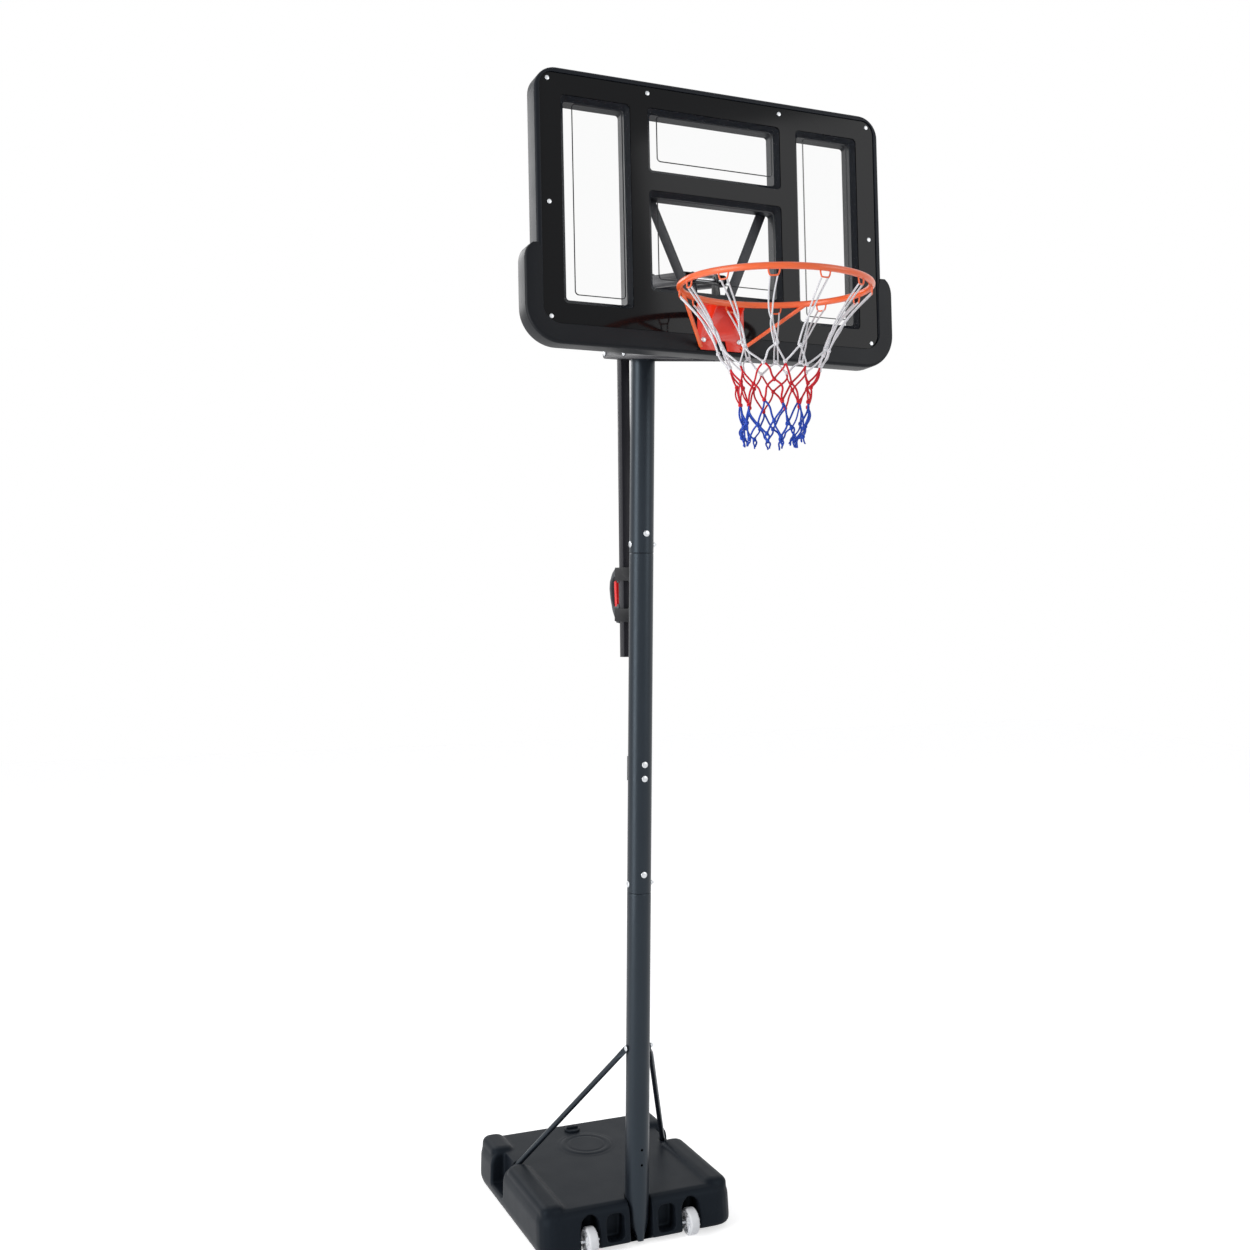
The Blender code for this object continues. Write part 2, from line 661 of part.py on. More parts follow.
def make_pole():
    """Each section's narrowed neck stands inside the section above; the foot is squeezed to a wedge."""
    inner = POLE_RADIUS - POLE_WALL
    neck = inner - GAP
    neck_in = neck - POLE_WALL
    sections = {}
    for label, foot, joint in (("lower", POLE_FOOT, JOINT_LOW), ("middle", JOINT_LOW + GAP, JOINT_HIGH)):
        name = f"pole_{label}"
        profile = [
            (POLE_RADIUS, foot), (POLE_RADIUS, joint), (neck, joint), (neck, joint + JOINT_NECK),
            (neck_in, joint + JOINT_NECK), (neck_in, joint - 0.004), (inner, joint - 0.008), (inner, foot)]
        mesh = turned_mesh(name, profile, POLE_SIDES, closed=True)
        sections[name] = place(name, mesh, POLE_PAINT, POLE_AXES)
    low = JOINT_HIGH + GAP
    mesh = turned_mesh(
        "pole_upper", [(POLE_RADIUS, low), (POLE_RADIUS, POLE_TOP), (inner, POLE_TOP), (inner, low)],
        POLE_SIDES, closed=True)
    sections["pole_upper"] = place("pole_upper", mesh, POLE_PAINT, POLE_AXES)

    lower, middle, upper = sections.values()
    for side in (-1, 1):
        far = side * (POLE_RADIUS + 0.02)
        wedge = [
            (side * FOOT_HALF_WIDTH, POLE_FOOT - 0.01), (far, POLE_FOOT - 0.01),
            (far, POLE_FOOT + FOOT_TAPER), (side * (POLE_RADIUS + 0.001), POLE_FOOT + FOOT_TAPER)]
        cut(lower, front_plate("foot_wedge", wedge, -0.05, 0.05))
    for number in range(2):
        height = POLE_HOLE_LOW + number * POLE_HOLE_PITCH
        hole(lower, (0, -POLE_RADIUS - 0.01, height), (0, 0, height), BOLT_RADIUS)
    hole(lower, (-0.05, 0, BRACE_TOP), (0.05, 0, BRACE_TOP), BOLT_RADIUS)

    reach = POLE_RADIUS + GAP
    joints = (("lower", JOINT_LOW, lower, middle), ("upper", JOINT_HIGH, middle, upper))
    for label, joint, below, above in joints:
        front, side = joint + JOINT_FRONT_BOLT, joint + JOINT_SIDE_BOLT
        for section in (below, above):
            hole(section, (0, -0.06, front), (0, 0.06, front), BOLT_RADIUS)
            hole(section, (-0.06, 0, side), (0.06, 0, side), BOLT_RADIUS)
        bolt = bolt_mesh("bolt", (0, -reach, front), (0, reach, front), BOLT_RADIUS)
        shade(place(f"{label}_joint_front_bolt", bolt, ZINC, POLE_AXES))
        bolt = bolt_mesh("bolt", (-reach, 0, side), (reach, 0, side), BOLT_RADIUS)
        shade(place(f"{label}_joint_side_bolt", bolt, ZINC, POLE_AXES))
    for height in (LOWER_PIVOT, UPPER_PIVOT):
        hole(upper, (-0.06, 0, height), (0.06, 0, height), PIVOT_RADIUS)
    for height in STOW_BOLTS:
        hole(middle, (0, -0.06, height), (0, 0.06, height), BOLT_RADIUS)
    for height in HANDLE_BOLTS:
        hole(middle, (0, 0, height), (0, 0.06, height), BOLT_RADIUS)
    for section in sections.values():
        shade(section)


def make_pole_cap():
    """A plug with a domed head no wider than the tube, so that the arms clear it."""
    plug = POLE_RADIUS - POLE_WALL - GAP
    profile = [
        (plug - 0.002, POLE_TOP - CAP_PLUG), (plug, POLE_TOP - CAP_PLUG + 0.003), (plug, POLE_TOP + GAP),
        (POLE_RADIUS, POLE_TOP + GAP), (POLE_RADIUS, POLE_TOP + CAP_RISE * 0.4),
        (POLE_RADIUS - 0.003, POLE_TOP + CAP_RISE * 0.75), (POLE_RADIUS - 0.010, POLE_TOP + CAP_RISE)]
    shade(place("pole_cap", turned_mesh("pole_cap", profile, POLE_SIDES), PAD_PLASTIC, POLE_AXES))


def channel_outline(half_in, wall, front, rear):
    """A channel seen from above, its web to the front and its mouth to the rear."""
    half = half_in + wall
    return [(-half, rear), (-half, front), (half, front), (half, rear),
            (half_in, rear), (half_in, front + wall), (-half_in, front + wall), (-half_in, rear)]


def make_stowage_bracket():
    front = POLE_RADIUS + GAP
    outline = channel_outline(STOW_HALF_WIDTH - STOW_WALL, STOW_WALL, front, front + STOW_REACH)
    mesh = plate_mesh("stowage_bracket", outline, STOW_TOP - STOW_HEIGHT, STOW_TOP)
    bracket = place("stowage_bracket", mesh, POLE_PAINT, POLE_AXES)
    for label, height in zip(("lower", "upper"), STOW_BOLTS):
        hole(bracket, (0, front - 0.01, height), (0, front + 0.01, height), BOLT_RADIUS)
        bolt = bolt_mesh("bolt", (0, -front, height), (0, front + STOW_WALL + GAP, height), BOLT_RADIUS)
        shade(place(f"stowage_bracket_bolt_{label}", bolt, ZINC, POLE_AXES))


# Braces from the pole to the tank


def brace_line(sign):
    """The bolt centres at the brace's upper and lower ends."""
    head_out = POLE_RADIUS + GAP + BRACE_EAR / 2
    foot_out = NOTCH_WALL + GAP + BRACE_EAR / 2
    return (Vector((sign * head_out, POLE_Y, BRACE_TOP)),
            Vector((sign * foot_out, NOTCH_FRONT + BRACE_FOOT_BEHIND, BRACE_FOOT_HEIGHT)))


def make_braces():
    for sign in (-1, 1):
        head, foot = brace_line(sign)
        run = (foot - head).normalized()
        start, end = head + run * BRACE_SETOFF, foot - run * BRACE_SETOFF
        brace = place(sided("brace", sign), rod_mesh("brace", start, end, BRACE_RADIUS, 12), POLE_PAINT)
        slope = atan2(run.z, run.y)
        for centre, angle in ((head, slope), (foot, slope + pi)):
            outline = stadium(0.0, BRACE_EAR_LENGTH, BRACE_EAR_HEIGHT / 2, 4)
            ear = side_plate("brace_ear", outline, -BRACE_EAR / 2, BRACE_EAR / 2)
            ear.transform(Matrix.Translation(centre) @ Matrix.Rotation(angle, 4, "X"))
            join(brace, ear)
            across = Vector((BRACE_EAR, 0, 0))
            hole(brace, centre - across, centre + across, BOLT_RADIUS)
        shade(brace)
        outward = Vector((sign, 0, 0))
        start, end = foot + outward * (BRACE_EAR / 2 + GAP), foot - outward * FOOT_BOLT_GRIP
        bolt = bolt_mesh("bolt", start, end, BOLT_RADIUS, nut=False)
        shade(place(sided("brace_foot_bolt", sign), bolt, ZINC))
    reach = POLE_RADIUS + BRACE_EAR + 2 * GAP
    bolt = bolt_mesh("bolt", (-reach, 0, BRACE_TOP), (reach, 0, BRACE_TOP), BOLT_RADIUS)
    shade(place("brace_top_bolt", bolt, ZINC, POLE_AXES))


# Lift arms


def make_arm(name, sign, end, joints, axes):
    """A rectangular tube with round-cut ends, along the axes' Y, its joint holes drilled through."""
    start = -ARM_LENGTH
    mesh = side_plate(name, stadium(start, end, ARM_HEIGHT / 2, 5), -ARM_WIDTH / 2, ARM_WIDTH / 2)
    arm = place(sided(name, sign), mesh, ARM_PAINT, axes, (sign * ARM_SIDE, 0, 0))
    inner = ARM_WIDTH / 2 - ARM_WALL
    rise = ARM_HEIGHT / 2 - ARM_WALL
    cut(arm, box_mesh("arm_bore", (-inner, start - 0.05, -rise), (inner, end + 0.05, rise)))
    for y in joints:
        hole(arm, (-0.03, y, 0), (0.03, y, 0), PIVOT_RADIUS)
    shade(arm)


def make_arms():
    for sign in (-1, 1):
        make_arm("lower_arm", sign, ARM_TAIL, (-ARM_LENGTH, 0, ARM_TAIL), LIFT_AXES)
        make_arm("upper_arm", sign, 0.0, (-ARM_LENGTH, 0), UPPER_AXES)
    reach = ARM_SIDE + ARM_WIDTH / 2 + GAP
    for name, axes, y in (
            ("lower_pivot_bolt", LIFT_AXES, 0), ("board_lower_pivot_bolt", LIFT_AXES, -ARM_LENGTH),
            ("strut_pivot_bolt", LIFT_AXES, ARM_TAIL), ("upper_pivot_bolt", UPPER_AXES, 0),
            ("board_upper_pivot_bolt", UPPER_AXES, -ARM_LENGTH)):
        bolt = bolt_mesh("bolt", (-reach, 0, 0), (reach, 0, 0), PIVOT_RADIUS, head=1.7)
        shade(place(name, bolt, ZINC, axes, (0, y, 0)))


# Lift strut and its handle


def make_strut():
    """A square tube hung from a cross tube that fills the width between the arms' tails."""
    axes = empty("strut_axes", (0, TAIL_Y, TAIL_Z), -STRUT_LEAN)
    length = hypot(TAIL_Y - POLE_Y - STRUT_FOOT_SETBACK, TAIL_Z - STRUT_BOTTOM)
    half_w, half_d = STRUT_WIDTH / 2, STRUT_DEPTH / 2
    mesh = box_mesh("lift_strut", (-half_w, -half_d, -length), (half_w, half_d, -STRUT_EYE / 2))
    strut = place("lift_strut", mesh, ARM_PAINT, axes)
    cut(strut, box_mesh("strut_bore", (STRUT_WALL - half_w, STRUT_WALL - half_d, -length - 0.05),
                        (half_w - STRUT_WALL, half_d - STRUT_WALL, -STRUT_EYE * 1.5)))
    join(strut, rod_mesh("strut_eye", (-POLE_RADIUS, 0, 0), (POLE_RADIUS, 0, 0), STRUT_EYE, 20))
    hole(strut, (-0.06, 0, 0), (0.06, 0, 0), PIVOT_RADIUS)
    shade(strut)


def strut_back(height):
    """How far behind the pole's axis the strut's rear face is at a height."""
    centre = STRUT_FOOT_SETBACK + (height - STRUT_BOTTOM) * tan(STRUT_LEAN)
    return centre + STRUT_DEPTH / 2 / cos(STRUT_LEAN)


def make_handle_bracket():
    """A channel bolted to the pole; its cheeks' upper and lower fingers hold the grip behind the strut."""
    front = POLE_RADIUS + GAP
    mesh = plate_mesh(
        "handle_bracket", channel_outline(CHEEK_IN, CHEEK_WALL, front, CHEEK_REACH), BRACKET_LOW, BRACKET_TOP)
    bracket = place("handle_bracket", mesh, POLE_PAINT, POLE_AXES)
    window = round_box(
        front + CHEEK_NECK, CHEEK_REACH + 0.05, BRACKET_LOW + CHEEK_BAND, BRACKET_TOP - CHEEK_BAND, 0.012, 3)
    cut(bracket, side_plate("cheek_window", window, -0.04, 0.04))
    for label, height in zip(("lower", "upper"), HANDLE_BOLTS):
        hole(bracket, (0, front - 0.01, height), (0, front + 0.01, height), BOLT_RADIUS)
        head = front + CHEEK_WALL + GAP
        tip = head - BRACKET_BOLT_GRIP
        bolt = bolt_mesh("bolt", (0, head, height), (0, tip, height), BOLT_RADIUS, nut=False)
        shade(place(f"handle_bracket_bolt_{label}", bolt, ZINC, POLE_AXES))
    shade(bracket)


def make_grip():
    """A loop cut from a thick plate; its front edge lies along the strut."""
    half = CHEEK_IN - GAP
    low, top, reach = BRACKET_LOW - GRIP_BELOW_BRACKET, BRACKET_TOP, GRIP_REACH
    low_front = strut_back(low) + GRIP_BEHIND_STRUT
    top_front = strut_back(top) + GRIP_BEHIND_STRUT
    outline = [
        (low_front, low), (low_front + GRIP_WEB + 0.010, low + 0.001), (reach - 0.040, low + 0.020),
        (reach - 0.025, low + 0.038), (reach - 0.008, low + 0.075), (reach, low + 0.105),
        (reach - 0.003, low + 0.128), (reach - 0.020, top - 0.018), (reach - 0.046, top), (top_front, top)]
    window = [
        (low_front + GRIP_WEB + 0.003, TRIGGER_Z + 0.012), (reach - 0.036, TRIGGER_Z + 0.010),
        (reach - 0.022, TRIGGER_Z + 0.032), (reach - 0.015, TRIGGER_Z + 0.062),
        (reach - 0.016, TRIGGER_Z + 0.083), (reach - 0.030, top - 0.032), (reach - 0.045, top - 0.028),
        (top_front + GRIP_WEB, top - 0.034)]
    mesh = side_plate("handle_grip", outline, -half, half, (window,))
    grip = place("handle_grip", mesh, GRIP_PLASTIC, POLE_AXES)
    soften(grip, GRIP_EDGE, 2, 60)
    for sign in (-1, 1):
        low_side, high_side = span(sign, GRIP_WEB_HALF, half + 0.01)
        cut(grip, box_mesh("web_side", (low_side, 0.10, BRACKET_LOW + CHEEK_BAND + 0.012),
                           (high_side, top_front + GRIP_WEB + 0.002, BRACKET_TOP - CHEEK_BAND - 0.006)))
    slot = TRIGGER_HALF_WIDTH + 0.0006
    slot_half = TRIGGER_HALF_THICK + 0.0035
    cut(grip, box_mesh("trigger_slot", (-slot, TRIGGER_SETBACK - slot_half, TRIGGER_Z - 0.009),
                       (slot, TRIGGER_SETBACK + slot_half, TRIGGER_Z + 0.020)))
    hole(grip, (-0.03, TRIGGER_SETBACK, TRIGGER_Z), (0.03, TRIGGER_SETBACK, TRIGGER_Z), TRIGGER_PIN_RADIUS)
    cut(grip, rod_mesh("latch_bore", (0, 0.08, LATCH_Z), (0, TRIGGER_SETBACK, LATCH_Z), LATCH_RADIUS + GAP))
    shade(grip)


def make_trigger():
    axes = empty("trigger_axes", (0, POLE_Y + TRIGGER_SETBACK, TRIGGER_Z))
    outline = stadium(0.0, TRIGGER_LENGTH, TRIGGER_HALF_THICK, 5)
    mesh = side_plate("trigger", outline, -TRIGGER_HALF_WIDTH, TRIGGER_HALF_WIDTH)
    mesh.transform(Matrix.Rotation(pi / 2 - TRIGGER_LEAN, 4, "X"))
    trigger = place("trigger", mesh, TRIGGER_PLASTIC, axes)
    soften(trigger, 0.002, 1, 60)
    hole(trigger, (-0.02, 0, 0), (0.02, 0, 0), TRIGGER_PIN_RADIUS)
    shade(trigger)
    half = CHEEK_IN - GAP
    pin = rod_mesh("trigger_pin", (-half, 0, 0), (half, 0, 0), TRIGGER_PIN_RADIUS, 12)
    shade(place("trigger_pin", pin, ZINC, axes))

    tip = strut_back(LATCH_Z + LATCH_RADIUS) + LATCH_CLEAR
    face = TRIGGER_SETBACK + LATCH_ABOVE_PIVOT * tan(TRIGGER_LEAN) - TRIGGER_HALF_THICK / cos(TRIGGER_LEAN)
    latch_axes = empty("latch_axes", (0, POLE_Y + tip, LATCH_Z))
    length = face - tip - LATCH_BEHIND_CLEAR
    profile = [(LATCH_RADIUS - 0.0015, 0.0), (LATCH_RADIUS, 0.0015), (LATCH_RADIUS, length)]
    mesh = turned_mesh("latch_pin", profile, 12)
    mesh.transform(along((0, 0, 0), (0, 1, 0)))
    shade(place("latch_pin", mesh, ZINC, latch_axes))


# Board


def frame_outline(inset):
    half = FRAME_HALF_WIDTH - inset
    return round_box(-half, half, FRAME_BOTTOM + inset, FRAME_TOP - inset, FRAME_CORNER - inset * 1.8, 6)


def window_bounds():
    """Left, right, bottom and top of each window at the frame's rear."""
    return (
        (-SIDE_WINDOW_OUT, -SIDE_WINDOW_IN, SIDE_WINDOW_LOW, SIDE_WINDOW_HIGH),
        (SIDE_WINDOW_IN, SIDE_WINDOW_OUT, SIDE_WINDOW_LOW, SIDE_WINDOW_HIGH),
        (-CENTRE_HALF, CENTRE_HALF, UPPER_WINDOW_LOW, UPPER_WINDOW_HIGH),
        (-CENTRE_HALF, CENTRE_HALF, TARGET_LOW, TARGET_HIGH))


def window_outline(bounds, grow):
    left, right, bottom, top = bounds
    return round_box(left - grow, right + grow, bottom - grow, top + grow, WINDOW_CORNER + grow * 0.5, 2)


def make_board_frame():
    """A moulding with a lip round the sheet, sloped window reveals and a hollow back."""
    lip = FRAME_LIP_RISE
    mesh = front_loft("board_frame", [
        (frame_outline(FRAME_EDGE), -lip), (frame_outline(FRAME_EDGE * 0.3), -lip + 0.002),
        (frame_outline(0.0), -lip + FRAME_EDGE), (frame_outline(0.0), FRAME_DEPTH)])
    frame = place("board_frame", mesh, FRAME_PLASTIC, BOARD_AXES)
    cut(frame, front_plate("sheet_seat", frame_outline(FRAME_LIP - GAP), -0.02, SHEET_THICK + GAP))
    back = window_bounds()
    walls = [window_outline(bounds, FRAME_WALL) for bounds in back]
    cut(frame, front_plate("frame_back", frame_outline(FRAME_WALL), FRAME_SKIN, FRAME_DEPTH + 0.02, walls))
    for bounds in back:
        cut(frame, front_loft("window", [
            (window_outline(bounds, WINDOW_REVEAL + 0.001), 0.001),
            (window_outline(bounds, WINDOW_REVEAL), SHEET_THICK + GAP),
            (window_outline(bounds, 0.0), SHEET_THICK + GAP + WINDOW_REVEAL),
            (window_outline(bounds, 0.0), FRAME_DEPTH + 0.02)]))
    inside = SHEET_THICK + TAB_BEHIND_SHEET
    shoulder = FRAME_BOTTOM + FRAME_EDGE + 0.002
    rear = FRAME_DEPTH - 0.0005
    tab = [
        (-lip + 0.0002, TAB_BOTTOM), (rear, TAB_BOTTOM), (rear, TAB_TOP), (inside, TAB_TOP),
        (inside, shoulder), (-lip + 0.0002, shoulder)]
    join(frame, side_plate("carrier_tab", tab, -TAB_HALF_WIDTH, TAB_HALF_WIDTH))
    for sign in (-1, 1):
        spot = (sign * STAY_HEAD_U, FRAME_SKIN - 0.004, STAY_HEAD_W)
        top = (sign * STAY_HEAD_U, CARRIER_BACK, STAY_HEAD_W)
        join(frame, rod_mesh("stay_boss", spot, top, STAY_BOSS, 16))
    for u, w in rim_bolt_spots():
        hole(frame, (u, -0.02, w), (u, 0.08, w), BOLT_RADIUS)
    for u, w in screw_spots().values():
        hole(frame, (u, -0.01, w), (u, SCREW_LENGTH + 0.001, w), SCREW_SHANK, 8)
    shade(frame)


def screw_spots():
    spots = {}
    for sign in (-1, 1):
        spots[sided("board_screw_low", sign)] = (sign * SCREW_SIDE, 0.0)
        spots[sided("board_screw_middle", sign)] = (sign * SCREW_SIDE, SCREW_MIDDLE)
        spots[sided("board_screw_high", sign)] = (sign * SCREW_SIDE, SCREW_HIGH)
        spots[sided("board_screw_inner", sign)] = (sign * SCREW_INNER, SCREW_HIGH)
    return spots


def rim_bolt_spots():
    return [(sign * RIM_BOLT_U, w) for w in (RIM_BOLT_LOW, RIM_BOLT_HIGH) for sign in (-1, 1)]


def make_board_sheet():
    mesh = front_plate("board_sheet", frame_outline(FRAME_LIP), 0.0, SHEET_THICK)
    sheet = place("board_sheet", mesh, SHEET_PLASTIC, BOARD_AXES)
    for u, w in screw_spots().values():
        hole(sheet, (u, -0.01, w), (u, 0.01, w), SCREW_SHANK, 8)
    for u, w in rim_bolt_spots()[2:]:
        hole(sheet, (u, -0.01, w), (u, 0.01, w), BOLT_RADIUS)
    for name, (u, w) in screw_spots().items():
        ratio = SCREW_HEAD / SCREW_SHANK
        screw = bolt_mesh("screw", (0, -GAP, 0), (0, SCREW_LENGTH, 0), SCREW_SHANK, nut=False, head=ratio)
        shade(place(name, screw, ZINC, BOARD_AXES, (u, 0, w)))


def make_board_pad():
    """A U that hugs the frame's lower edge, opened behind the rim plate for the frame's tab."""
    inner = FRAME_HALF_WIDTH + GAP
    outer = inner + PAD_THICK
    low, bottom = FRAME_BOTTOM - GAP, FRAME_BOTTOM - PAD_BELOW
    end = PAD_THICK / 2
    inner_corner = FRAME_CORNER + GAP
    right = arc((outer - PAD_CORNER, bottom + PAD_CORNER), PAD_CORNER, -90, 0, 8)
    right += arc((outer - end, PAD_TOP - end), end, 0, 180, 6)
    right += arc((inner - inner_corner, low + inner_corner), inner_corner, 0, -90, 6)
    outline = right + [(-u, w) for u, w in reversed(right)]
    mesh = front_plate("board_pad", outline, -PAD_OVERHANG, FRAME_DEPTH + PAD_OVERHANG)
    pad = place("board_pad", mesh, PAD_PLASTIC, BOARD_AXES)
    soften(pad, PAD_EDGE, 2, 60)
    side = TAB_HALF_WIDTH + GAP
    cut(pad, box_mesh("tab_opening", (-side, -0.02, TAB_BOTTOM - GAP), (side, FRAME_DEPTH + 0.02, 0.0)))
    shade(pad)


def board_pivot_offset(rise):
    """Where a pivot that much above the lower one lies, behind the face and above the lower screws."""
    return (FACE_BEHIND_PIVOT - rise * sin(BOARD_LEAN), rise * cos(BOARD_LEAN) - PIVOT_DROP)


def make_carrier():
    """The plate behind the board, its two cheeks with the pivot eyes, and the two stays."""
    outline = round_box(-CARRIER_HALF_WIDTH, CARRIER_HALF_WIDTH, CARRIER_BOTTOM, CARRIER_TOP, 0.008, 2)
    mesh = front_plate("board_bracket", outline, CARRIER_FRONT, CARRIER_BACK)
    carrier = place("board_bracket", mesh, ARM_PAINT, BOARD_AXES)
    lower, upper = board_pivot_offset(0.0), board_pivot_offset(PIVOT_SPACING)
    cheek = [(CARRIER_FRONT + 0.001, CARRIER_BOTTOM + 0.004)]
    cheek += arc(lower, CARRIER_EYE, -90, 20, 5)
    cheek += arc(upper, CARRIER_EYE, 0, 150, 6)
    cheek += [(CARRIER_FRONT + 0.001, CARRIER_TOP - 0.004)]
    for sign in (-1, 1):
        near, far = span(sign, POLE_RADIUS - CARRIER_WALL, POLE_RADIUS)
        join(carrier, side_plate("carrier_cheek", cheek, near, far))
    for v, w in (lower, upper):
        hole(carrier, (-0.05, v, w), (0.05, v, w), PIVOT_RADIUS)
    for u, w in rim_bolt_spots():
        hole(carrier, (u, 0.04, w), (u, 0.08, w), BOLT_RADIUS)
    shade(carrier)

    length = hypot(STAY_HEAD_U - STAY_FOOT_U, STAY_HEAD_W - STAY_FOOT_W)
    front = CARRIER_BACK + GAP
    for sign in (-1, 1):
        mesh = front_plate("board_stay", stadium(0.0, length, STAY_WIDTH / 2, 5), front, front + STAY_THICK)
        angle = atan2(STAY_HEAD_W - STAY_FOOT_W, sign * (STAY_HEAD_U - STAY_FOOT_U))
        mesh.transform(Matrix.Rotation(-angle, 4, "Y"))
        foot = (sign * STAY_FOOT_U, 0, STAY_FOOT_W)
        shade(place(sided("board_stay", sign), mesh, ARM_PAINT, BOARD_AXES, foot))


# Rim and net, built level and then set on the leaning board


def level_turn():
    return Matrix.Translation((0, 0, RIM_RISE)) @ Matrix.Rotation(BOARD_LEAN, 4, "X")


def level(mesh):
    mesh.transform(level_turn())
    return mesh


def ring_body(name, rod, sides):
    around = []
    for k in range(RIM_SIDES):
        turn = 2 * pi * k / RIM_SIDES
        section = []
        for j in range(sides):
            about = 2 * pi * j / sides
            reach = RIM_RADIUS + rod * cos(about)
            section.append((reach * cos(turn), RIM_CENTRE + reach * sin(turn), rod * sin(about)))
        around.append(section)
    return ring_mesh(name, around, closed=True)


def make_rim():
    """The ring with its two brace rods and the wire loops for the net, all welded together."""
    rim = place("rim_ring", level(ring_body("rim_ring", RIM_ROD, 8)), RIM_PAINT, BOARD_AXES)
    for sign in (-1, 1):
        aside, ahead = RIM_RADIUS * cos(RIM_BRACE_ANGLE), RIM_RADIUS * sin(RIM_BRACE_ANGLE)
        start = level_turn() @ Vector((sign * aside, RIM_CENTRE + ahead, -RIM_ROD * 0.3))
        end = Vector((sign * RIM_BRACE_FOOT_U, RIM_PLATE_FRONT, RIM_BRACE_FOOT_W))
        end += (end - start).normalized() * RIM_BRACE_RADIUS * 1.6
        join(rim, rod_mesh("rim_brace", start, end, RIM_BRACE_RADIUS, 8))
    cut(rim, box_mesh("plate_face", (-0.1, RIM_PLATE_FRONT - GAP, -0.1), (0.1, 0.02, 0.1)))
    bar, shoulder = -RIM_ROD - HOOK_DROP, -RIM_ROD - HOOK_DROP * 0.5
    bend = [
        (-HOOK_HALF, -RIM_ROD * 0.5), (-HOOK_HALF, shoulder), (-HOOK_HALF * 0.6, bar),
        (HOOK_HALF * 0.6, bar), (HOOK_HALF, shoulder), (HOOK_HALF, -RIM_ROD * 0.5)]
    for number in range(HOOKS):
        turn = 2 * pi * number / HOOKS
        wire = wire_mesh("net_hook", [(RIM_RADIUS, across, z) for across, z in bend], HOOK_WIRE, 0)
        wire.transform(Matrix.Translation((0, RIM_CENTRE, 0)) @ Matrix.Rotation(turn, 4, "Z"))
        join(rim, level(wire))
    shade(rim)


def make_rim_bracket():
    """A plate on the board's face with a level shelf and two gussets that reach the ring."""
    wide, narrow = RIM_PLATE_HALF, RIM_PLATE_FOOT_HALF
    low, high = RIM_PLATE_LOW, RIM_PLATE_HIGH
    outline = [
        (-0.018, low), (-0.012, low + 0.026), (0.012, low + 0.026), (0.018, low), (narrow, low),
        (wide, low + 0.02), (wide, high - 0.006), (wide - 0.006, high), (-wide + 0.006, high),
        (-wide, high - 0.006), (-wide, low + 0.02), (-narrow, low)]
    mesh = front_plate("rim_bracket", outline, RIM_PLATE_FRONT, RIM_PLATE_BACK)
    plate = place("rim_bracket", mesh, RIM_PLATE_PAINT, BOARD_AXES)
    back = RIM_PLATE_BACK - 0.0015
    reach = -RIM_BOARD_GAP
    half = RIM_SHELF_HALF
    join(plate, level(box_mesh("shelf", (-half, reach - RIM_SHELF_OVERRUN, -RIM_SHELF_THICK / 2),
                               (half, back, RIM_SHELF_THICK / 2))))
    drop = RIM_GUSSET_DROP
    foot = back - drop * tan(BOARD_LEAN)
    gusset = [(back, 0.0), (foot, -drop), (foot - 0.010, -drop), (reach, -0.010), (reach, 0.0)]
    for sign in (-1, 1):
        near, far = span(sign, half - RIM_SHELF_THICK, half)
        join(plate, level(side_plate("gusset", gusset, near, far)))
    cut(plate, level(ring_body("ring_seat", RIM_ROD + GAP * 2, 8)))
    for number, (u, w) in enumerate(rim_bolt_spots(), 1):
        hole(plate, (u, -0.02, w), (u, 0.0, w), BOLT_RADIUS)
        bolt = bolt_mesh(
            "bolt", (0, RIM_PLATE_FRONT - GAP, 0), (0, CARRIER_BACK + GAP, 0), BOLT_RADIUS, head=1.7)
        shade(place(f"rim_bolt_{number}", bolt, ZINC, BOARD_AXES, (u, 0, w)))
    shade(plate)


def net_radius(drop):
    """A net that narrows quickly below the ring and then hangs almost straight."""
    part = max(0.0, 1.0 - drop / (NET_LENGTH * 0.82))
    return NET_NECK_RADIUS + (RIM_RADIUS - NET_NECK_RADIUS) * part ** 1.6


def make_net():
    """Diamonds between staggered rings of knots, turned into cord."""
    bm = bmesh.new()
    knots = []
    for ring in range(NET_RINGS):
        drop = NET_LENGTH * ring / (NET_RINGS - 1)
        radius = net_radius(drop)
        turns = [2 * pi * (k + ring * 0.5) / HOOKS for k in range(HOOKS)]
        knots.append([
            bm.verts.new((radius * cos(turn), RIM_CENTRE + radius * sin(turn), -NET_TOP_DROP - drop))
            for turn in turns])
    for ring in range(NET_RINGS - 2):
        for k in range(HOOKS):
            before = (k - 1) % HOOKS
            across = (knots[ring + 1][before], knots[ring + 1][k])
            bm.faces.new((knots[ring][k], across[0], knots[ring + 2][before], across[1]))
    net = place("net", level(finish_mesh("net", bm)), NET_PAINT, BOARD_AXES)
    step = net.modifiers.new("cord", "WIREFRAME")
    step.thickness = NET_CORD
    step.use_boundary = True
    step.use_replace = True
    step.use_even_offset = True
    shade(net)


POLE_AXES = empty("pole_axes", (0, POLE_Y, 0))
LIFT_AXES = empty("lift_axes", (0, POLE_Y, LOWER_PIVOT), ARM_SLOPE)
UPPER_AXES = empty("upper_arm_axes", (0, POLE_Y, UPPER_PIVOT), ARM_SLOPE)
BOARD_TILT_AXES = empty("board_tilt_axes", (0, BOARD_PIVOT_Y, BOARD_PIVOT_Z), -BOARD_LEAN)
BOARD_AXES = empty("board_axes", (0, -FACE_BEHIND_PIVOT, PIVOT_DROP), 0.0, BOARD_TILT_AXES)

